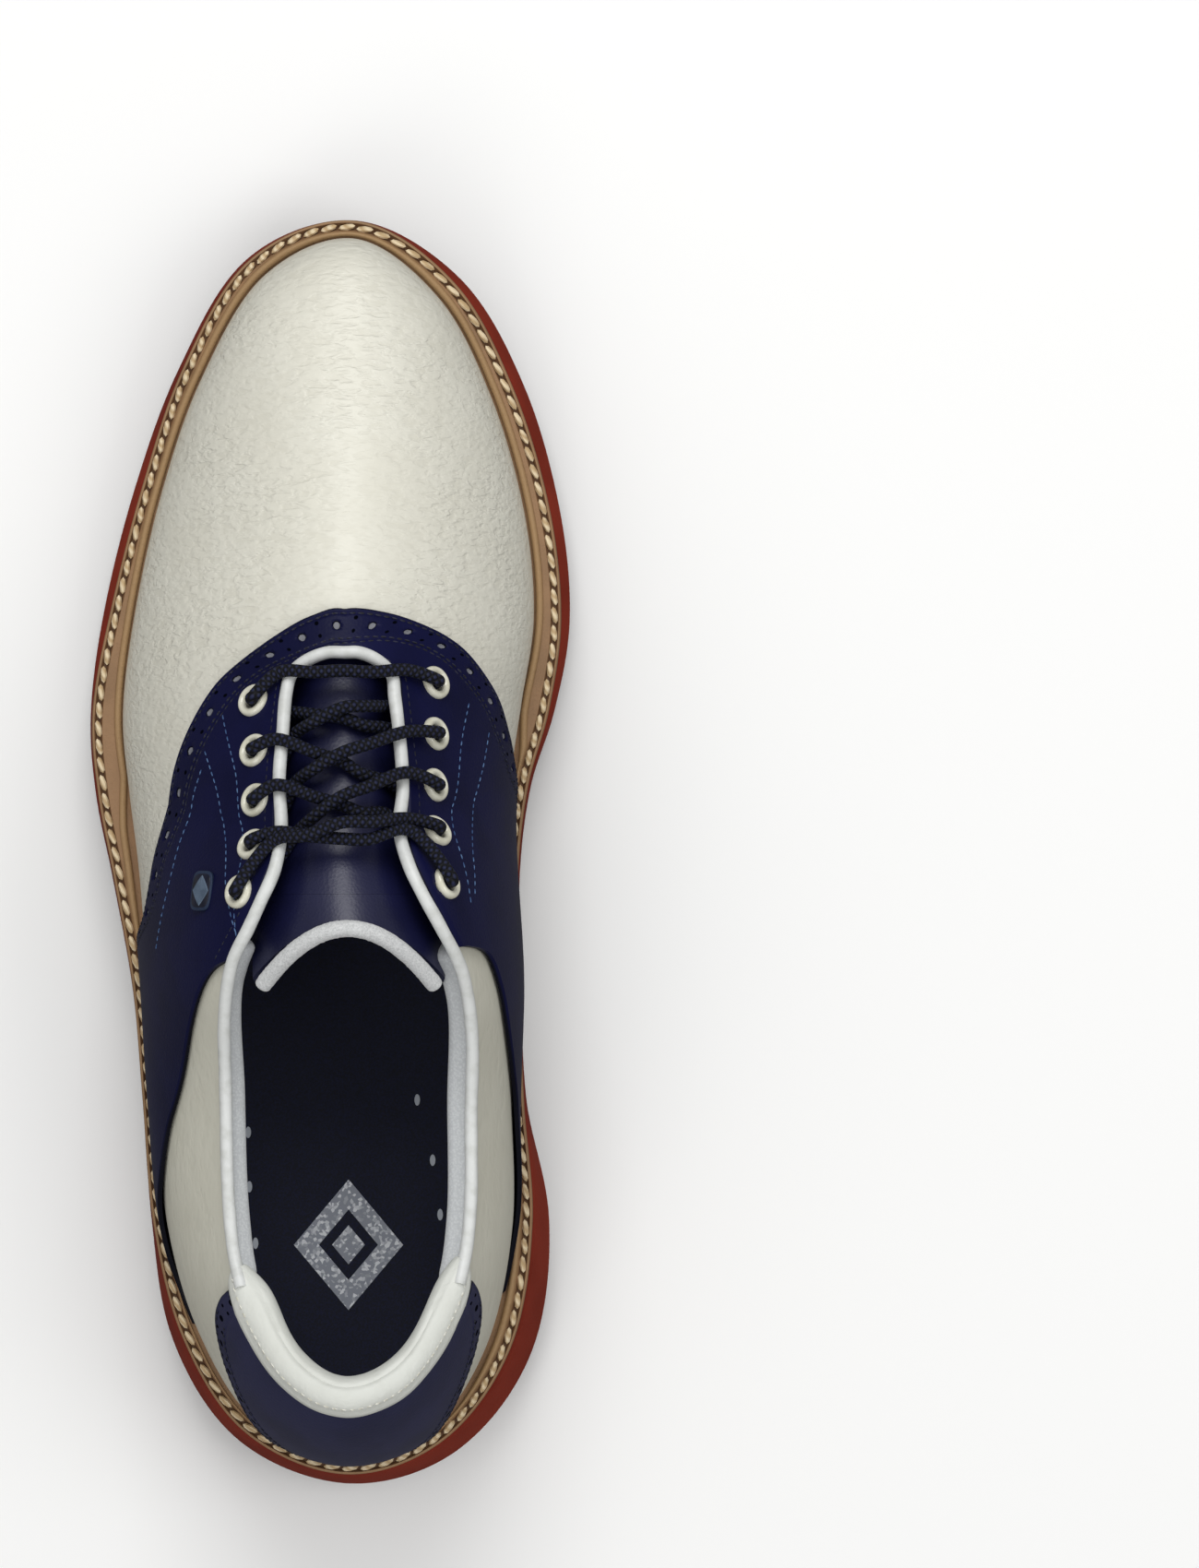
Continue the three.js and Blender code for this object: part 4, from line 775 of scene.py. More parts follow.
eyelets = {"medial": [(8.56, 0.66), (8, 0.65), (7.38, 0.65), (6.75, 0.67), (6.12, 0.82)],
           "lateral": [(8.44, 0.71), (7.94, 0.72), (7.38, 0.72), (6.75, 0.73), (6.06, 0.83)]}
eyeletPlaces = [(f"{side}_{k + 1}", q if side == "medial" else -q, h)
                for side, places in eyelets.items() for k, (q, h) in enumerate(places)]
eyeletLook = {"bore": 2.1, "barrel": 2.6, "flange": 4.05, "bottom": -1.5, "seat": 2.15, "crown": 3.1}


def saddleGrid(rows, over):
    # both edges as smooth curves through the pairs; `over` runs from the outer edge (0) to the inner (1)
    ends = np.array([[(abs(u), (1 if u > 0 else -1) * (1 - h)) for u, h in pair] for pair in saddlePairs])
    at = np.linspace(0, len(ends) - 1, rows)
    i = np.clip(np.floor(at).astype(int), 0, len(ends) - 2)
    t = (at - i)[:, None, None]
    padded = np.concatenate([2 * ends[:1] - ends[1:2], ends, 2 * ends[-1:] - ends[-2:-1]])
    a, b, c, d = (padded[i + k] for k in range(4))
    both = b + 0.5 * t * (c - a + t * (2 * a - 5 * b + 4 * c - d + t * (3 * (b - c) + d - a)))
    both[..., 1] = np.clip(both[..., 1], -1, 1)
    chart = mix(both[:, None, 0], both[:, None, 1], np.asarray(over)[None, :, None])
    return across(chart[..., 0], chart[..., 1])


saddleLook = {"rows": 620, "rimShare": 0.36, "rimColumns": 24, "columns": 30, "holeDepth": 0.8,
              "grooveDepth": 0.22, "rimGroove": 1.5, "eyeletDepth": 3.3, "eyeletEdge": (3.35, 2.85),
              "edgeRadius": 0.6, "edgeDrop": 0.9}


def makeSaddle():
    rim = saddleLook["rimShare"]  # the columns are closer together over the punched rim
    over = np.concatenate([np.linspace(0, rim, saddleLook["rimColumns"]),
                           np.linspace(rim, 1, saddleLook["columns"])[1:]])
    u, h = saddleGrid(saddleLook["rows"], over)
    middle = onSkin(u, h, np.full(u.shape, overlay[1]))
    fromOuter = distances(middle)[2]
    track = middle[:, 4]
    s = np.concatenate([[0], np.cumsum(np.linalg.norm(np.diff(track, axis=0), axis=-1))])[:, None] + 0 * u
    band = np.broadcast_to(smooth(0.02, 0.1, h[:, :1]), u.shape)
    relief = np.zeros(u.shape)
    wrap = (s + brogue["pitch"] / 2) % brogue["pitch"] - brogue["pitch"] / 2
    hole = np.hypot(wrap, fromOuter - brogue["inset"])
    relief -= saddleLook["holeDepth"] * band * smooth(brogue["radius"] + 0.25, brogue["radius"] - 0.35, hole)
    groove = (np.exp(-((fromOuter - saddleLook["rimGroove"]) / 0.45) ** 2)
              + np.exp(-((fromOuter - brogue["width"]) / 0.5) ** 2))
    relief -= saddleLook["grooveDepth"] * band * groove
    for _, eyeU, eyeH in eyeletPlaces:
        centre = onSkin(np.array(eyeU), np.array(eyeH), overlay[1])
        fromEyelet = np.linalg.norm(middle - centre, axis=-1)
        relief -= saddleLook["eyeletDepth"] * smooth(*saddleLook["eyeletEdge"], fromEyelet)
    edge = np.min(distances(middle), axis=0)
    drop = rolled(edge, saddleLook["edgeRadius"]) * saddleLook["edgeDrop"]
    sunk = np.where(relief < -1.2, relief + 0.1, 0)
    uv = np.stack([s, fromOuter], -1)
    patches = shell(onSkin(u, h, overlay[1] - drop + relief), onSkin(u, h, overlay[0] + sunk), uv,
                    edge=edge, band=band)
    makePiece("saddleLeather", patches, saddleNavy, ["saddle"])
    makeSaddleStitches(u, h, fromOuter)


stitchLook = {"pitch": 2.1, "size": (1.6, 0.55, 0.5), "paleSize": (1.4, 0.36, 0.34)}
paleLines = [  # stitched lines on the upper, stations and heights
    [(-8.24, 0.615), (-7.65, 0.66), (-6.96, 0.675), (-6.19, 0.79), (-5.74, 0.88), (-5.48, 0.955)],
    [(-7.81, 0.56), (-7.41, 0.595), (-6.9, 0.62), (-6.25, 0.73), (-5.77, 0.855), (-5.52, 0.945)],
    [(-7.59, 0.55), (-7.14, 0.51), (-6.59, 0.495), (-6.06, 0.51), (-5.62, 0.5), (-5.31, 0.485)],
    [(8.24, 0.52), (7.79, 0.545), (7.15, 0.565), (6.48, 0.64), (6.03, 0.725), (5.82, 0.765)],
    [(7.8, 0.42), (7.3, 0.45), (6.71, 0.52), (6.23, 0.63), (5.89, 0.72)],
]


def makeSaddleStitches(u, h, fromOuter):
    rows = np.array([k for k in range(len(u)) if h[k, 0] > 0.03])
    rim = []
    for distance in (saddleLook["rimGroove"], brogue["width"] - 0.6, brogue["width"] + 0.8):
        share = np.array([np.interp(distance, fromOuter[k], np.arange(u.shape[1])) for k in rows])
        low = np.minimum(np.floor(share).astype(int), u.shape[1] - 2)
        line = [mix(values[rows, low], values[rows, low + 1], share - low)
                for values in (np.abs(u), np.sign(u) * (1 - h))]
        points, normals = skinLine(*across(*line), overlay[1] - 0.1)
        rim += stitchSeeds(points, normals, stitchLook["pitch"], stitchLook["size"])
    beside = np.full(len(rows), int(0.93 * (u.shape[1] - 1)))  # beside the piping, along the inner edge
    points, normals = skinLine(u[rows, beside], h[rows, beside], overlay[1] - 0.12)
    rim += stitchSeeds(points, normals, stitchLook["pitch"], stitchLook["size"])
    makePiece("saddleStitches", rim, navyThread)
    pale = []
    for corners in paleLines:
        lineU, lineH = catmullRom(np.array(corners), 16).T
        points, normals = skinLine(lineU, lineH, overlay[1] + 0.02)
        pale += stitchSeeds(points, normals, stitchLook["pitch"], stitchLook["paleSize"])
    makePiece("paleStitches", pale, blueThread)


# the quarters: cream sides from the back seam to under the saddle
quarterFront = {
    "medial": lineThrough([(0, 3.1), (0.2, 3.6), (0.3, 4.1), (0.42, 4.55), (0.61, 5.1), (0.72, 5.55),
                           (0.82, 5.75), (0.965, 5.8)]),
    "lateral": lineThrough([(0, 2.7), (0.2, 3.1), (0.38, 3.8), (0.58, 4.5), (0.75, 5.1), (0.85, 5.45),
                            (0.965, 5.55)]),
}


def backTop(u):
    return 0.92 + 0.055 * smooth(2.1, 2.6, np.abs(u)) - 0.02 * smooth(4.4, 5.5, -u)


def makeQuarters():
    along, up = np.linspace(0, 1, 110)[:, None], spread(64)[None]
    for side, sign in (("medial", 1), ("lateral", -1)):
        u = sign * mix(0.04, quarterFront[side](0.965 * up), along)
        h = backTop(u) * up
        makePiece(f"quarterLeather_{side}", layerShell(u, h, leather, rollSides=(1, 3)), smoothCream,
                  [f"quarter_{side}"])


def makeQuarterLining():
    end = 6.55
    u = np.linspace(-end, end, 260)[:, None] + np.zeros((1, 50))
    top = 0.86 + 0.125 * smooth(1.9, 2.4, np.abs(u)) - 0.465 * smooth(5.3, 5.95, np.abs(u))
    h = top * spread(50, 0.6)[None]
    padding = 2.2 * smooth(0.5, 0.78, h) * (1 - smooth(5.2, 5.9, np.abs(u)))
    outer = onSkin(u, h, lining[1] + 2.5 * smooth(0.86, 0.97, h))
    edge = distances(outer)[3]
    inner = onSkin(u, h, lining[0] - padding * (1 - rolled(edge, 2.6)))
    made = makePiece("quarterLiningKnit", shell(outer, inner, None), greyKnit, ["quarter_lining"])


# the heel tab: its two side edges, as a station at each height, and its rows of stitches
heelLook = {"outer": lineThrough([(0, -0.45), (0.3, -0.85), (0.5, -1.3), (0.62, -1.72), (0.72, -2.0),
                                  (0.83, -2.13), (0.93, -2.16)]),
            "inner": lineThrough([(0, 0.65), (0.3, 1.06), (0.5, 1.5), (0.62, 1.9), (0.72, 2.17),
                                  (0.83, 2.3), (0.93, 2.34)]),
            "top": 0.93, "rows": 110, "columns": 130, "grooves": (1.2, 6.2), "perStation": 27}


def makeHeelTab():
    rows, columns = heelLook["rows"], heelLook["columns"]
    h = heelLook["top"] * spread(rows)[:, None] + np.zeros((1, columns))
    over = spread(columns, 0.6)[None]
    u = mix(heelLook["outer"](h), heelLook["inner"](h), over)
    middle = onSkin(u, h, np.full(u.shape, overlay[1]))
    gaps = distances(middle)
    side = np.minimum(gaps[2], gaps[3])
    uv = np.stack([gaps[0] * 1.15, side], -1)
    near, far = heelLook["grooves"]
    groove = np.exp(-((side - near) / 0.4) ** 2) + np.exp(-((side - far) / 0.45) ** 2)
    band = smooth(0.1, 0.2, h) * smooth(7, 6, side)
    patches = layerShell(u, h, overlay, -0.2 * groove * smooth(0.06, 0.12, h), uv=uv, rollSides=(1, 2, 3),
                         band=band)
    makePiece("heelTabLeather", patches, heelNavy, ["heel_tab"])
    grains = []
    for distance in heelLook["grooves"]:
        for sign, border in ((1, heelLook["outer"]), (-1, heelLook["inner"])):
            lineH = np.linspace(0.08, 0.78, 60)
            lineU = border(lineH) + sign * distance / heelLook["perStation"]
            points, normals = skinLine(lineU, lineH, overlay[1] - 0.05)
            grains += stitchSeeds(points, normals, stitchLook["pitch"], stitchLook["size"])
    makePiece("heelTabStitches", grains, navyThread)


# the collar: a padded roll over the back of the topline, rounded off at both ends
collarLook = {"innerEnd": 2.5, "outerEnd": -2.36, "rows": 170, "sides": 44, "seamAngle": 0.75,
              "innerSeamAngle": 2.15, "stitchPitch": 1.9, "stitchSize": (1.4, 0.5, 0.4)}


def makeCollar():
    share = 2 * spread(collarLook["rows"], 0.7) - 1
    u = share * np.where(share > 0, collarLook["innerEnd"], -collarLook["outerEnd"])
    full = np.sqrt(1 - np.abs(share) ** 7) * (1 - 0.22 * smooth(0.3, 1, np.abs(share)))
    foot, top = station(u)[:2]
    out = unit((foot - top) * (1, 1, 0))
    bulge = 1.7 * np.exp(-((np.abs(share) - 0.78) / 0.2) ** 2) * full  # more padding towards both ends
    wide, tall = 1.5 + 3.4 * full + bulge, 1.6 + 4.2 * full
    centre = top + out * (0.6 * full - bulge)[:, None]
    centre[:, 2] += 0.5 - tall + 1.2 * (1 - full)
    angle = np.linspace(0, 2 * np.pi, collarLook["sides"] + 1)
    angle[-1] = 0
    seams = collarLook["seamAngle"], collarLook["innerSeamAngle"]
    seam = sum(np.exp(-((angle - at) / 0.09) ** 2) for at in seams)
    size = 1 - 0.07 * seam[None] * full[:, None]
    wave = 1 + 0.012 * np.sin(u * 9)[:, None] * np.sin(angle * 3)[None]
    ring = (centre[:, None] + out[:, None] * (wide[:, None] * np.cos(angle) * size * wave)[..., None]
            + np.array([0, 0, 1]) * (tall[:, None] * np.sin(angle) * size * wave)[..., None])
    ends = [np.broadcast_to(ring[k].mean(0), ring[:1].shape) for k in (0, -1)]
    grid = np.concatenate([ends[0], ring, ends[1]])
    made = makePiece("collarRoll", [patch(grid, edge=np.full(grid.shape[:2], 9.0))], collarCream, ["collar"])
    places, ups, outs = resample(centre, collarLook["stitchPitch"], np.stack([wide, tall, full], -1), out)
    middle, direction = (places[1:] + places[:-1]) / 2, unit(np.diff(places, axis=0))
    wideHere, tallHere, fullHere = ((ups[1:] + ups[:-1]) / 2).T
    outHere = unit(outs[1:] + outs[:-1])
    seamAt = collarLook["seamAngle"] + 0.2
    lifted = middle + outHere * (wideHere * math.cos(seamAt))[:, None]
    lifted[:, 2] += tallHere * math.sin(seamAt)
    normal = unit(outHere * math.cos(seamAt) + np.array([0, 0, math.sin(seamAt)]))
    keep = fullHere > 0.3
    grains = seeds(lifted[keep], direction[keep], normal[keep], collarLook["stitchSize"])
    makePiece("collarStitches", grains, creamThread)


# the piping: one cord round the throat, from the outer end of the collar to the inner
pipingLook = {"radius": 1.55, "ripple": 0.03, "step": 0.8, "sides": 14}
pipingLine = [(-2.1, 1), (-2.6, 1), (-3.2, 1), (-4, 1), (-4.7, 1), (-5.2, 0.985), (-5.6, 0.965), (-6, 0.925),
              (-6.5, 0.85), (-7.1, 0.79), (-7.7, 0.79), (-8.2, 0.8), (-8.6, 0.805), (-8.8, 0.82),
              (-8.96, 0.87), (-9.08, 0.94), (9.12, 1), (9.08, 0.94), (8.96, 0.87), (8.78, 0.815), (8.55, 0.8),
              (8.1, 0.775), (7.5, 0.76), (7, 0.77), (6.5, 0.85), (6.1, 0.95), (5.7, 0.995), (5.2, 1),
              (4.6, 1), (3.9, 1), (3.2, 1), (2.7, 1), (2.2, 1)]


def makePiping():
    u, h = np.array(pipingLine, float).T
    route = catmullRom(onSkin(u, h, 0.3 + 0.6 * smooth(4.5, 6, np.abs(u))), 14)
    route = resample(route, pipingLook["step"])[0]
    _, normals, sides = carriedFrames(route, (0, 0, 1))
    length = np.arange(len(route)) * pipingLook["step"]
    radius = pipingLook["radius"] + pipingLook["ripple"] * np.sin(length / 2.3)
    cord = tube(route, normals, sides, radius[:, None], pipingLook["sides"])
    makePiece("throatPiping", [cord], piping, ["piping"])


# the tongue: an arched tongue under the lacing, with a top that folds forward
tongueLook = {"fold": -9, "thickness": 2.4, "gap": 0.02, "flapEnd": -15.4, "end": -18, "front": 56}
tongueHeight = lineThrough([(-18, 109.4), (-9, 105.2), (0, 100.7), (10, 96), (30, 85), (44, 76.4),
                            (57, 69.4)])
feltLook = {"radius": 1.9, "fuzz": 0.035, "seed": 4, "sides": 20, "step": 0.5}


def tonguePoint(y, v, depth):
    past = np.maximum(tongueLook["fold"] - y, 0) / 9
    half = 17 + 6 * smooth(1, 14, -y)
    middle = 4.5 + 1.5 * smooth(0, -18, y)
    sag = mix(np.where(v > 0, 0.065, 0.053), 0.034, smooth(-12, 20, -y))
    sideways = half * v
    slope = np.arctan((tongueHeight(y - 1) - tongueHeight(y + 1)) / 2)
    x = middle + sideways * (1 - depth * 0.04)
    z = tongueHeight(y) - sag * sideways * sideways + 3 * past * v * v - depth * np.cos(slope)
    return np.stack([x, y - 19.5 * past * v * v - depth * np.sin(slope), z], -1)


def tongueShell(start, end, rows, thickness):
    y = np.linspace(start, end, rows)[:, None] + np.zeros((1, 81))
    v = np.linspace(-1, 1, 81)[None] + np.zeros((rows, 1))
    flat = tonguePoint(y, v, np.zeros(y.shape))
    edge = np.min(distances(flat)[2:], axis=0)
    drop = rolled(edge, 1.0) * 0.45 * thickness
    return shell(tonguePoint(y, v, drop), tonguePoint(y, v, thickness - drop), None, edge=edge)


def makeTongue():
    gap = tongueLook["gap"]
    thickness = tongueLook["thickness"]
    makePiece("tongueLeather", tongueShell(tongueLook["front"], tongueLook["fold"] + gap, 120, thickness),
              tongueNavy, ["tongue"])
    makePiece("tongueTopLeather", tongueShell(tongueLook["fold"] - gap, tongueLook["flapEnd"], 24, thickness),
              tongueNavy, ["tongue_flap"], body="tongue_top")
    v = np.linspace(-1, 1, 81)
    rimY = (tongueLook["flapEnd"] + tongueLook["end"]) / 2 + 0.2
    rim = tonguePoint(np.full(81, rimY), 0.93 * v, np.full(81, 1.0))
    rim = resample(rim, feltLook["step"])[0]
    _, normals, sides = carriedFrames(rim, (0, 0, 1))
    count = len(rim)
    ends = np.sin(np.pi * np.clip(np.minimum(np.arange(count), count - 1 - np.arange(count)) / 5, 0, 0.5))
    fuzz = np.random.default_rng(feltLook["seed"]).normal(0, feltLook["fuzz"], (count, feltLook["sides"] + 1))
    fuzz[:, -1] = fuzz[:, 0]
    radius = (feltLook["radius"] + fuzz) * np.maximum(ends, 0.25)[:, None]
    makePiece("tongueFelt", [tube(rim, normals, sides, radius, feltLook["sides"], 1.05)], felt,
              ["tongue_edge"], body="tongue_top")


def makeEyelets():
    bore, barrel, flange = eyeletLook["bore"], eyeletLook["barrel"], eyeletLook["flange"]
    bottom, seat, crown = eyeletLook["bottom"], eyeletLook["seat"], eyeletLook["crown"]
    middle = (bore + flange) / 2
    turn = np.linspace(-0.25 * np.pi, 1.15 * np.pi, 14)
    rim = np.stack([middle + (flange - bore) / 2 * np.cos(turn),
                    seat - 0.1 + (crown - seat + 0.25) * np.sin(turn)], -1)
    profile = np.concatenate([[(bore + 0.05, bottom), (barrel, bottom), (barrel, seat - 0.5)], rim,
                              [(bore + 0.05, bottom)]])
    for name, u, h in eyeletPlaces:
        centre, normal = skin(np.array(u), np.array(h)), skinNormal(np.array(u), np.array(h))
        makePiece(f"enamelEyelet_{name}", [revolve(profile, centre, normal, 40)], enamel, [f"eyelet_{name}"],
                  sharp=60)


# the lace: the route's points, each a station, a height on the rib and an offset from the skin
laceLook = {"radius": 1.5, "under": -3.3, "over": 3.9, "aglet": (1.6, 12), "gap": 0.3, "step": 0.42}
strands = [
    (("lateral", 5, "over", 6.85), (7.32, 4.9), (7.11, "over", "medial", 4)),
    (("medial", 4, "under", 7.27), (7.66, -1.9), (7.6, "over", "lateral", 3)),
    (("lateral", 3, "under", 7.71), (8.14, 1.6), (8.12, "over", "medial", 2)),
    (("medial", 2, "under", 8.26), (8.56, -1.9), (8.49, "under", "lateral", 1)),
    (("lateral", 1, "over", 8.74), (8.92, 2.2), (8.74, "over", "medial", 1)),
    (("medial", 1, "under", 8.52), (8.58, 1.6), (8.24, "under", "lateral", 2)),
    (("lateral", 2, "over", 8.09), (8.12, -1.9), (7.68, "under", "medial", 3)),
    (("medial", 3, "over", 7.66), (7.68, 1.6), (7.12, "under", "lateral", 4)),
    (("lateral", 4, "over", 7.04), (7.2, 1.3), (6.88, "over", "medial", 5)),
]


def laceRoute():
    sign = {"medial": 1, "lateral": -1}
    edgeHeight = {"medial": 0.775, "lateral": 0.8}
    down = [(0.022, 4.9), (0.003, 2.9), (0, 0.4), (0.004, -2.2), (0.035, laceLook["under"] - 0.2)]

    def throughEyelet(side, row, start):
        q, h = eyelets[side][row - 1]
        steps = down if start == "over" else down[::-1]
        return [(sign[side] * q, h + rise, offset) for rise, offset in steps]

    def tail(side):
        q, h = eyelets[side][4]
        drops = [(-0.04, -4.6), (-0.17, -5.9), (-0.28, -6.9), (-0.37, -7.2), (-0.45, -7.2)]
        return [(sign[side] * q, h + drop, offset) for drop, offset in drops]

    def atEdge(side, kind, q):
        return sign[side] * q, edgeHeight[side], laceLook[kind]

    def halfway(side, kind, q, middle):
        return sign[side] * (q + middle[0]) / 2, 0.9, mix(laceLook[kind], middle[1], 0.72)

    route = tail("lateral")[::-1] + throughEyelet("lateral", 5, "under")[1:]
    for (side, _, kind, q), middle, (q2, kind2, side2, row2) in strands:
        route += [atEdge(side, kind, q), halfway(side, kind, q, middle), (middle[0], 1, middle[1]),
                  halfway(side2, kind2, q2, middle), atEdge(side2, kind2, q2),
                  *throughEyelet(side2, row2, kind2)]
    route = route[:-1] + tail("medial")
    u, h, offset = np.array(route, float).T
    return onSkin(u, h, offset)


def makeLace():
    corners = laceRoute()
    route = resample(catmullRom(corners, 16), laceLook["step"])[0]
    print(f"lace: {(len(route) - 1) * laceLook['step']:.0f} mm long")
    _, normals, sides = carriedFrames(route, (0.3, 0.2, 1))
    makePiece("braidedLaceCord", [tube(route, normals, sides, laceLook["radius"], 14)], lace, ["lace"])
    radius, length = laceLook["aglet"]
    profile = [(0, 0), (radius * 0.9, 0), (radius, 0.4), (radius, length - 0.8), (radius * 0.8, length),
               (0, length)]
    for k, (end, before) in enumerate(((corners[0], corners[1]), (corners[-1], corners[-2]))):
        direction = unit(end - before)
        makePiece(f"lacetip_{k + 1}", [revolve(profile, end + direction * laceLook["gap"], direction, 24)],
                  blackNylon, [f"aglet_{k + 1}"], sharp=60)


makeVamp()
makeVampLining()
makeSaddle()
makeQuarters()
makeQuarterLining()
makeHeelTab()
makeCollar()
makePiping()
makeTongue()
makeEyelets()
makeLace()
print("stage: upper")


# the badge: a plain plate with a raised frame and a plain diamond
badgeLook = {"u": -5.98, "h": 0.69, "width": 7, "length": 9.4, "thick": 0.9, "lift": 0.3, "corner": 4,
             "facingUp": 0.25}


def makeBadge():
    u, h = badgeLook["u"], badgeLook["h"]
    normal = unit(skinNormal(np.array(u), np.array(h)) + (0, 0, badgeLook["facingUp"]))
    side = unit(np.cross((0, 1, 0), normal))
    up = np.cross(normal, side)
    base = onSkin(np.array(u), np.array(h), np.array(overlay[1] + badgeLook["lift"]))

    def plate(scale, low, high, power):  # a squared-off oval, or a diamond at a low power
        angle = np.linspace(0, 2 * np.pi, 49)
        angle[-1] = 0
        x, y = (np.sign(wave) * np.abs(wave) ** (2 / power) * badgeLook[size] / 2
                for wave, size in ((np.cos(angle), "width"), (np.sin(angle), "length")))
        rings = []
        for share, z in ((0, low), (1, low), (1, high - 0.15), (0.95, high), (0, high)):
            rings.append(base + scale * share * (x[:, None] * side + y[:, None] * up) + normal * z)
        return patch(np.stack(rings))

    thick = badgeLook["thick"]
    makePiece("badgeRim", [plate(1, 0, thick * 0.7, badgeLook["corner"])], badgeEdge, ["badge"],
              sharp=50)
    makePiece("badgePlate", [plate(0.87, thick * 0.5, thick * 0.8, badgeLook["corner"])], badgeDark,
              sharp=50)
    makePiece("badgeDiamond", [plate(0.78, thick * 0.7, thick, 1.1)], badgeMetal,
              sharp=50)


# the sole, from the welt down
weltLook = {"top": -0.35, "bottom": -4, "inner": -3.6, "beadHeight": 1.5, "grooveHalf": 0.95,
            "stitchInset": 1.55, "segments": 620}
stitchSize = {"pitch": 4.35, "size": (4.1, 1.55, 1.35), "lift": -0.2, "turn": 11}
beadStart = lineThrough([(-7.2, 0.5), (-6.4, 2.4), (0, 2.4), (7.2, 2.4), (7.9, 0.5)])


def ringStations(count):  # stations all round, at an even spacing along the feather line
    u = np.linspace(-13, 13, 2601)
    foot = station(u)[0]
    length = np.concatenate([[0], np.cumsum(np.linalg.norm(np.diff(foot, axis=0), axis=1))])
    return np.interp(np.linspace(0, length[-1], count + 1), length, u)


def stitchOut(u):
    return station(u)[3] - weltLook["stitchInset"]


def makeWelt():
    u = ringStations(weltLook["segments"])
    edge = station(u)[3]
    start = np.clip(beadStart(u), 0.5, 2.4)
    groove = stitchOut(u)
    half, top, bottom = weltLook["grooveHalf"], weltLook["top"], weltLook["bottom"]
    bead = np.clip(groove - half - 0.15 - start, 0.25, 1.9)
    high = weltLook["beadHeight"] * np.minimum(bead / 1.2, 1)
    zero = np.zeros_like(u)
    # each point of the section: how far out, its height, and its shares of the painted highlight (bead and
    # rounded edge) and the painted shade (stitch groove)
    section = [(weltLook["inner"] + zero, bottom, 0, 0), (edge - 0.3, bottom, 0, 0),
               (edge, bottom + 0.3, 0, 0), (edge + 0.05, -2.2, 0, 0), (edge, top - 0.7, 0, 0),
               (edge - 0.12, top - 0.3, 0.3, 0), (edge - 0.4, top - 0.05, 0.6, 0),
               (groove + half * 1.02, top, 0, 0), (groove + half * 0.8, top - 0.45, 0, 0.7),
               (groove + half * 0.4, top - 0.95, 0, 1), (groove - half * 0.4, top - 0.95, 0, 1),
               (groove - half * 0.8, top - 0.45, 0, 0.7), (groove - half * 1.02, top + 0.05, 0.2, 0)]
    for angle in np.linspace(0.1, np.pi, 8):
        x = start + bead * (0.5 + 0.5 * np.cos(angle))
        section.append((x, top + high * np.sin(angle) ** 0.8, 0.25 + 0.75 * math.sin(angle), 0))
    section += [(start - 0.2, top, 0.2, 0), (weltLook["inner"] + zero, top, 0, 0)]
    section.append(section[0])
    grid, beadHighlightMark, grooveShadeMark = [], [], []
    for out, rise, paintedHighlight, paintedShade in section:
        x, y = plan(u, out)
        grid.append(np.stack([x, y, featherHeight(y) + rise], -1))
        beadHighlightMark.append(zero + paintedHighlight)
        grooveShadeMark.append(zero + paintedShade)
    # the bead and groove marks carry the painted highlight and the painted shade
    strip = patch(np.stack(grid), bead=np.stack(beadHighlightMark), groove=np.stack(grooveShadeMark))
    makePiece("weltStrip", [strip], weltTan, ["welt"], sharp=50)
    x, y = plan(u, groove)
    line = np.stack([x, y, featherHeight(y) + top + stitchSize["lift"]], -1)
    ups = np.tile((0.0, 0.0, 1.0), (len(u), 1))
    grains = stitchSeeds(line, ups, stitchSize["pitch"], stitchSize["size"], stitchSize["turn"])
    makePiece("weltLockstitches", grains, weltThread, ["welt_stitch"])


def slabPatches(levels, rows=140, columns=30, topDish=None):
    # levels are (reach at a station, height at x, y); the faces between them run all round
    share = spread(rows, 0.75)
    q = 13 * share
    edges = []
    for reach, height in levels:
        sides = []
        for sign in (1, -1):
            x, y = plan(sign * q, reach(sign * q))
            sides.append(np.stack([x, y, height(x, y)], -1))
        for end in (0, -1):
            sides[1][end] = sides[0][end]
        edges.append(sides)
    patches = [patch(np.stack([edge[0] for edge in edges])),
               flipped(patch(np.stack([edge[1] for edge in edges])))]
    t = np.linspace(0, 1, columns + 1)
    for level, turned in ((len(levels) - 1, False), (0, True)):
        inner, outer = edges[level]
        face = mix(inner[:, None], outer[:, None], t[None, :, None])
        height = levels[level][1](face[..., 0], face[..., 1])
        if topDish is not None and not turned:
            height = height + topDish(2 * t[None] - 1, (inner - outer)[:, None, 0], face[..., 1])
        face[:, 1:-1, 2] = height[:, 1:-1]
        made = patch(face)
        patches.append(made if turned else flipped(made))
    return patches


soleLook = {"midsoleDrop": 2.3, "gap": 0.3, "insole": -4.8, "footbedBottom": 1.6, "edgeRise": 5.6}
cupDepth = lineThrough([(-145, 5.5), (-120, 4.5), (-80, 3), (-20, 3), (30, 1), (145, 0.6)])
cleatPlaces = [(-41, 26), (38, 40), (-37, 66), (36, 74), (2, 89), (-22, -112), (30, -112)]
receptacle = {"radius": 9.2, "depth": 3.6}


def makeFootbed():
    def reach(u):
        return soleLook["insole"] - 0.4 - 1.3 * smooth(5, 8, np.abs(u))

    def low(x, y):
        return featherHeight(y) + soleLook["footbedBottom"]

    def high(x, y):
        return featherHeight(y) + soleLook["edgeRise"] + cupDepth(y)

    def dish(v, width, y):
        return -cupDepth(y) * (1 - v * v) * smooth(0, 40, width)

    patches = slabPatches([(reach, low), (reach, high)], topDish=dish)
    made = makePiece("cushionedFootbed", patches, footbedPrint, ["footbed"], sharp=50)


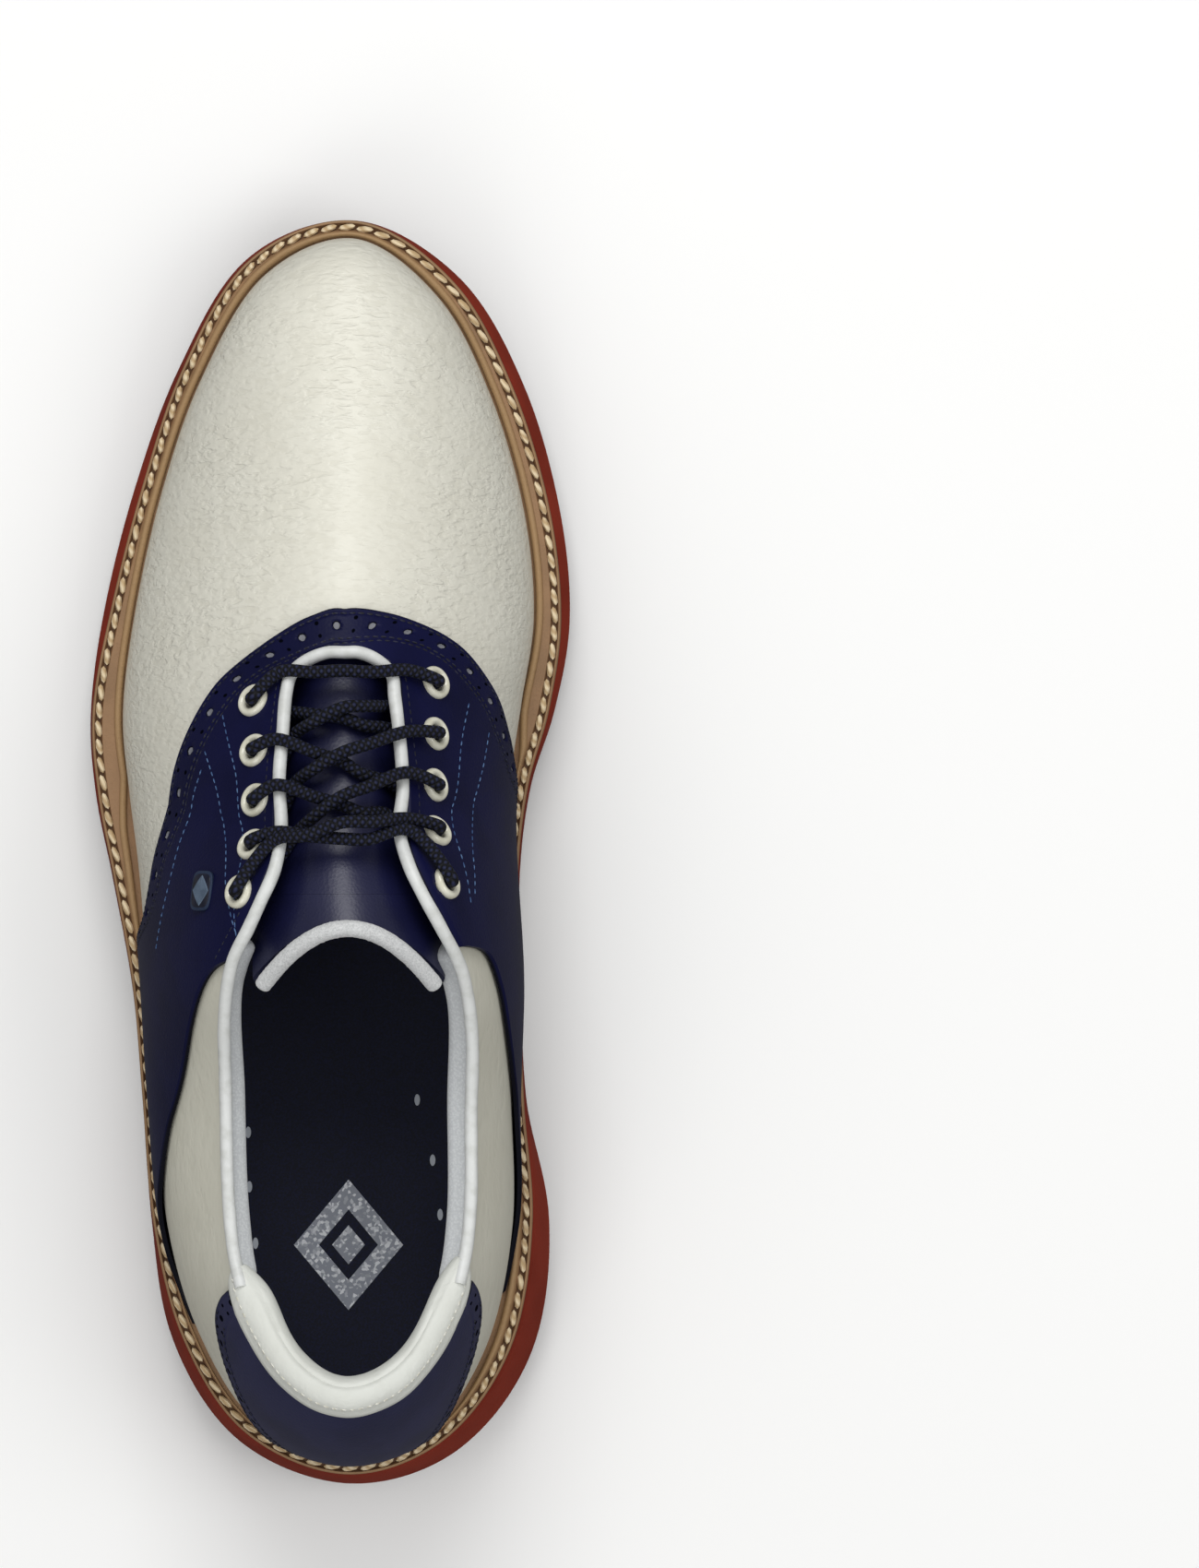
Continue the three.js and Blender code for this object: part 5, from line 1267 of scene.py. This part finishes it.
def makeSole():
    bottom = weltLook["bottom"]
    soleTop = bottom - soleLook["midsoleDrop"] - 2 * soleLook["gap"]

    def weltReach(u):
        return station(u)[3] - 0.3

    def above(rise):
        return lambda x, y: featherHeight(y) + rise

    midsole = [(weltReach, above(bottom - soleLook["gap"] - soleLook["midsoleDrop"])),
               (weltReach, above(bottom - soleLook["gap"]))]
    makePiece("stackedMidsole", slabPatches(midsole, columns=6), midsoleLeather, ["midsole"],
              sharp=50)

    def reach(share, inset):
        return lambda u: mix(station(u)[3], station(u)[4], share) - inset

    def between(share):
        return lambda x, y: mix(groundHeight(y), featherHeight(y) + soleTop, share)

    side = [(0.9, 2.6, 0), (0.95, 1.2, 0.04), (1, 0.35, 0.12), (1, 0.02, 0.22), (1, 0.0, 0.38),
            (1, 0.45, 0.4), (1, 0.45, 0.44), (0.97, 0.0, 0.47), (0.62, 0.0, 0.72),
            (0.3, 0.0, 0.93), (0.25, 0.4, 1)]
    levels = [(reach(share, inset), between(up)) for share, inset, up in side]  # from the ground to the welt
    sole = makePiece("rubberOutsole", slabPatches(levels, rows=160, columns=36), brick, ["outsole"],
                     sharp=35)
    cutPockets(sole)


def cutPockets(sole):  # a round pocket in the underside for each receptacle
    radius, depth = receptacle["radius"] + 0.3, receptacle["depth"] + 0.3
    profile = [(0, -depth), (radius, -depth), (radius, depth), (0, depth)]
    patches = []
    for x, y in cleatPlaces:
        patches.append(revolve(profile, np.array([x, y, float(groundHeight(y))]), (0, 0, 1), 48))
    cutter = makePiece("pocketCutter", patches, brick)
    cut = sole.modifiers.new("pockets", "BOOLEAN")
    cut.operation = "DIFFERENCE"
    cut.solver = "EXACT"
    cut.object = cutter
    bpy.context.view_layer.update()
    carved = bpy.data.meshes.new_from_object(sole.evaluated_get(bpy.context.evaluated_depsgraph_get()))
    sole.modifiers.remove(cut)
    carved.name = "rubberOutsoleCarved"
    sole.data = carved
    bpy.data.objects.remove(cutter)


# the cleats: a dished disc on a stem with legs that taper to the ground, one on each of seven bodies
cleatLook = {"stem": 4.8, "legs": 6, "circle": 7.3, "disc": 9.8, "seat": 6.0, "wrench": 4.6}


def makeCleats():
    seat, stem, disc = cleatLook["seat"], cleatLook["stem"], cleatLook["disc"]
    outline = [(0, 0), (0.85, 0), (1.1, 0.25), (1.35, 1.6), (1.8, 3.2), (1.9, seat - 1.6), (0, seat - 1.6)]
    rim = [(0.7, seat - 3.0), (1.1, seat - 3.35), (1.35, seat - 3.0), (0.7, seat - 3.0)]
    profile = [(0, seat - 3.3), (3.2, seat - 3.3), (3.6, seat - 3.0), (6.2, seat - 3.0), (8.4, seat - 2.5),
               (disc - 0.35, seat - 1.5), (disc, seat - 1), (disc - 0.1, seat - 0.45),
               (disc - 0.35, seat - 0.3), (stem, seat - 0.3), (stem, seat + 2.2),
               (stem - 0.2, seat + 2.4), (0, seat + 2.4)]
    for k, (x, y) in enumerate(cleatPlaces, 1):
        patches = [revolve(profile, np.array([x, y, 0.0]), (0, 0, 1), 54)]
        # the legs, and then raised rims of the two holes that a cleat wrench fits
        for shape, count, circle, start, sides in ((outline, cleatLook["legs"], cleatLook["circle"], 0, 18),
                                                   (rim, 2, cleatLook["wrench"], 0.5, 16)):
            for turn in range(count):
                angle = 2 * math.pi * (turn + start) / count
                centre = np.array([x + circle * math.cos(angle), y + circle * math.sin(angle), 0.0])
                patches.append(revolve(shape, centre, (0, 0, 1), sides))
        makePiece(f"softCleat_{k}", patches, cleatBody, [f"cleat_{k}"], body=f"cleat_{k}",
                  sharp=50)


def dressFrame():  # the CAD nodes that stay as they are, inside the shoe
    looks = {"toe_puff": board, "facing_medial": board, "facing_lateral": board, "heel_stiffener": board,
             "insole_board": board, "shank": steel, "cork_filler": corkBody,
             **{f"receptacle_{k}": blackNylon for k in range(1, 8)}}
    for name, material in looks.items():
        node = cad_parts[name]
        node.data.materials.clear()
        node.data.materials.append(material)


makeBadge()
makeWelt()
makeFootbed()
makeSole()
makeCleats()
dressFrame()
print("stage: sole")


def makeSky():  # white light, strongest overhead
    world = bpy.data.worlds.new("studio")
    world.use_nodes = True
    world.node_tree.nodes.clear()
    upward = add(world, "SeparateXYZ", (add(world, "TexCoord", (), "Generated"),), 2)
    strength = add(world, "MapRange", (upward, 0.0, 1.0, sky["horizon"], sky["overhead"]), 0, **smoothly)
    light = add(world, "Background", {"Color": (1, 1, 1, 1), "Strength": strength}, 0)
    add(world, "OutputWorld", {"Surface": light})
    bpy.context.scene.world = world


makeSky()

# the floor
floorSize = 3000
paper = newMaterial("palePaper")  # white to the camera, darker in what it throws back, and clear from below
toCamera = add(paper, "LightPath", (), "Is Camera Ray")
tone = add(paper, "Mix", {0: toCamera, 6: "#807f7d", 7: "#fbfbfa"}, 2, **inColour)
face = add(paper, "BsdfDiffuse", {"Color": tone}, 0)
clear = add(paper, "BsdfTransparent", (), 0)
fromBelow = add(paper, "NewGeometry", (), "Backfacing")
add(paper, "OutputMaterial", {"Surface": add(paper, "MixShader", (fromBelow, face, clear), 0)})
floorMesh = bpy.data.meshes.new("floor")
corner = floorSize * mm / 2
corners = [(-corner, -corner, 0), (corner, -corner, 0), (corner, corner, 0), (-corner, corner, 0)]
floorMesh.from_pydata(corners, [], [(0, 1, 2, 3)])
floorMesh.materials.append(paper)
floor = bpy.data.objects.new("floor", floorMesh)
bpy.context.scene.collection.objects.link(floor)

print("stage: done")
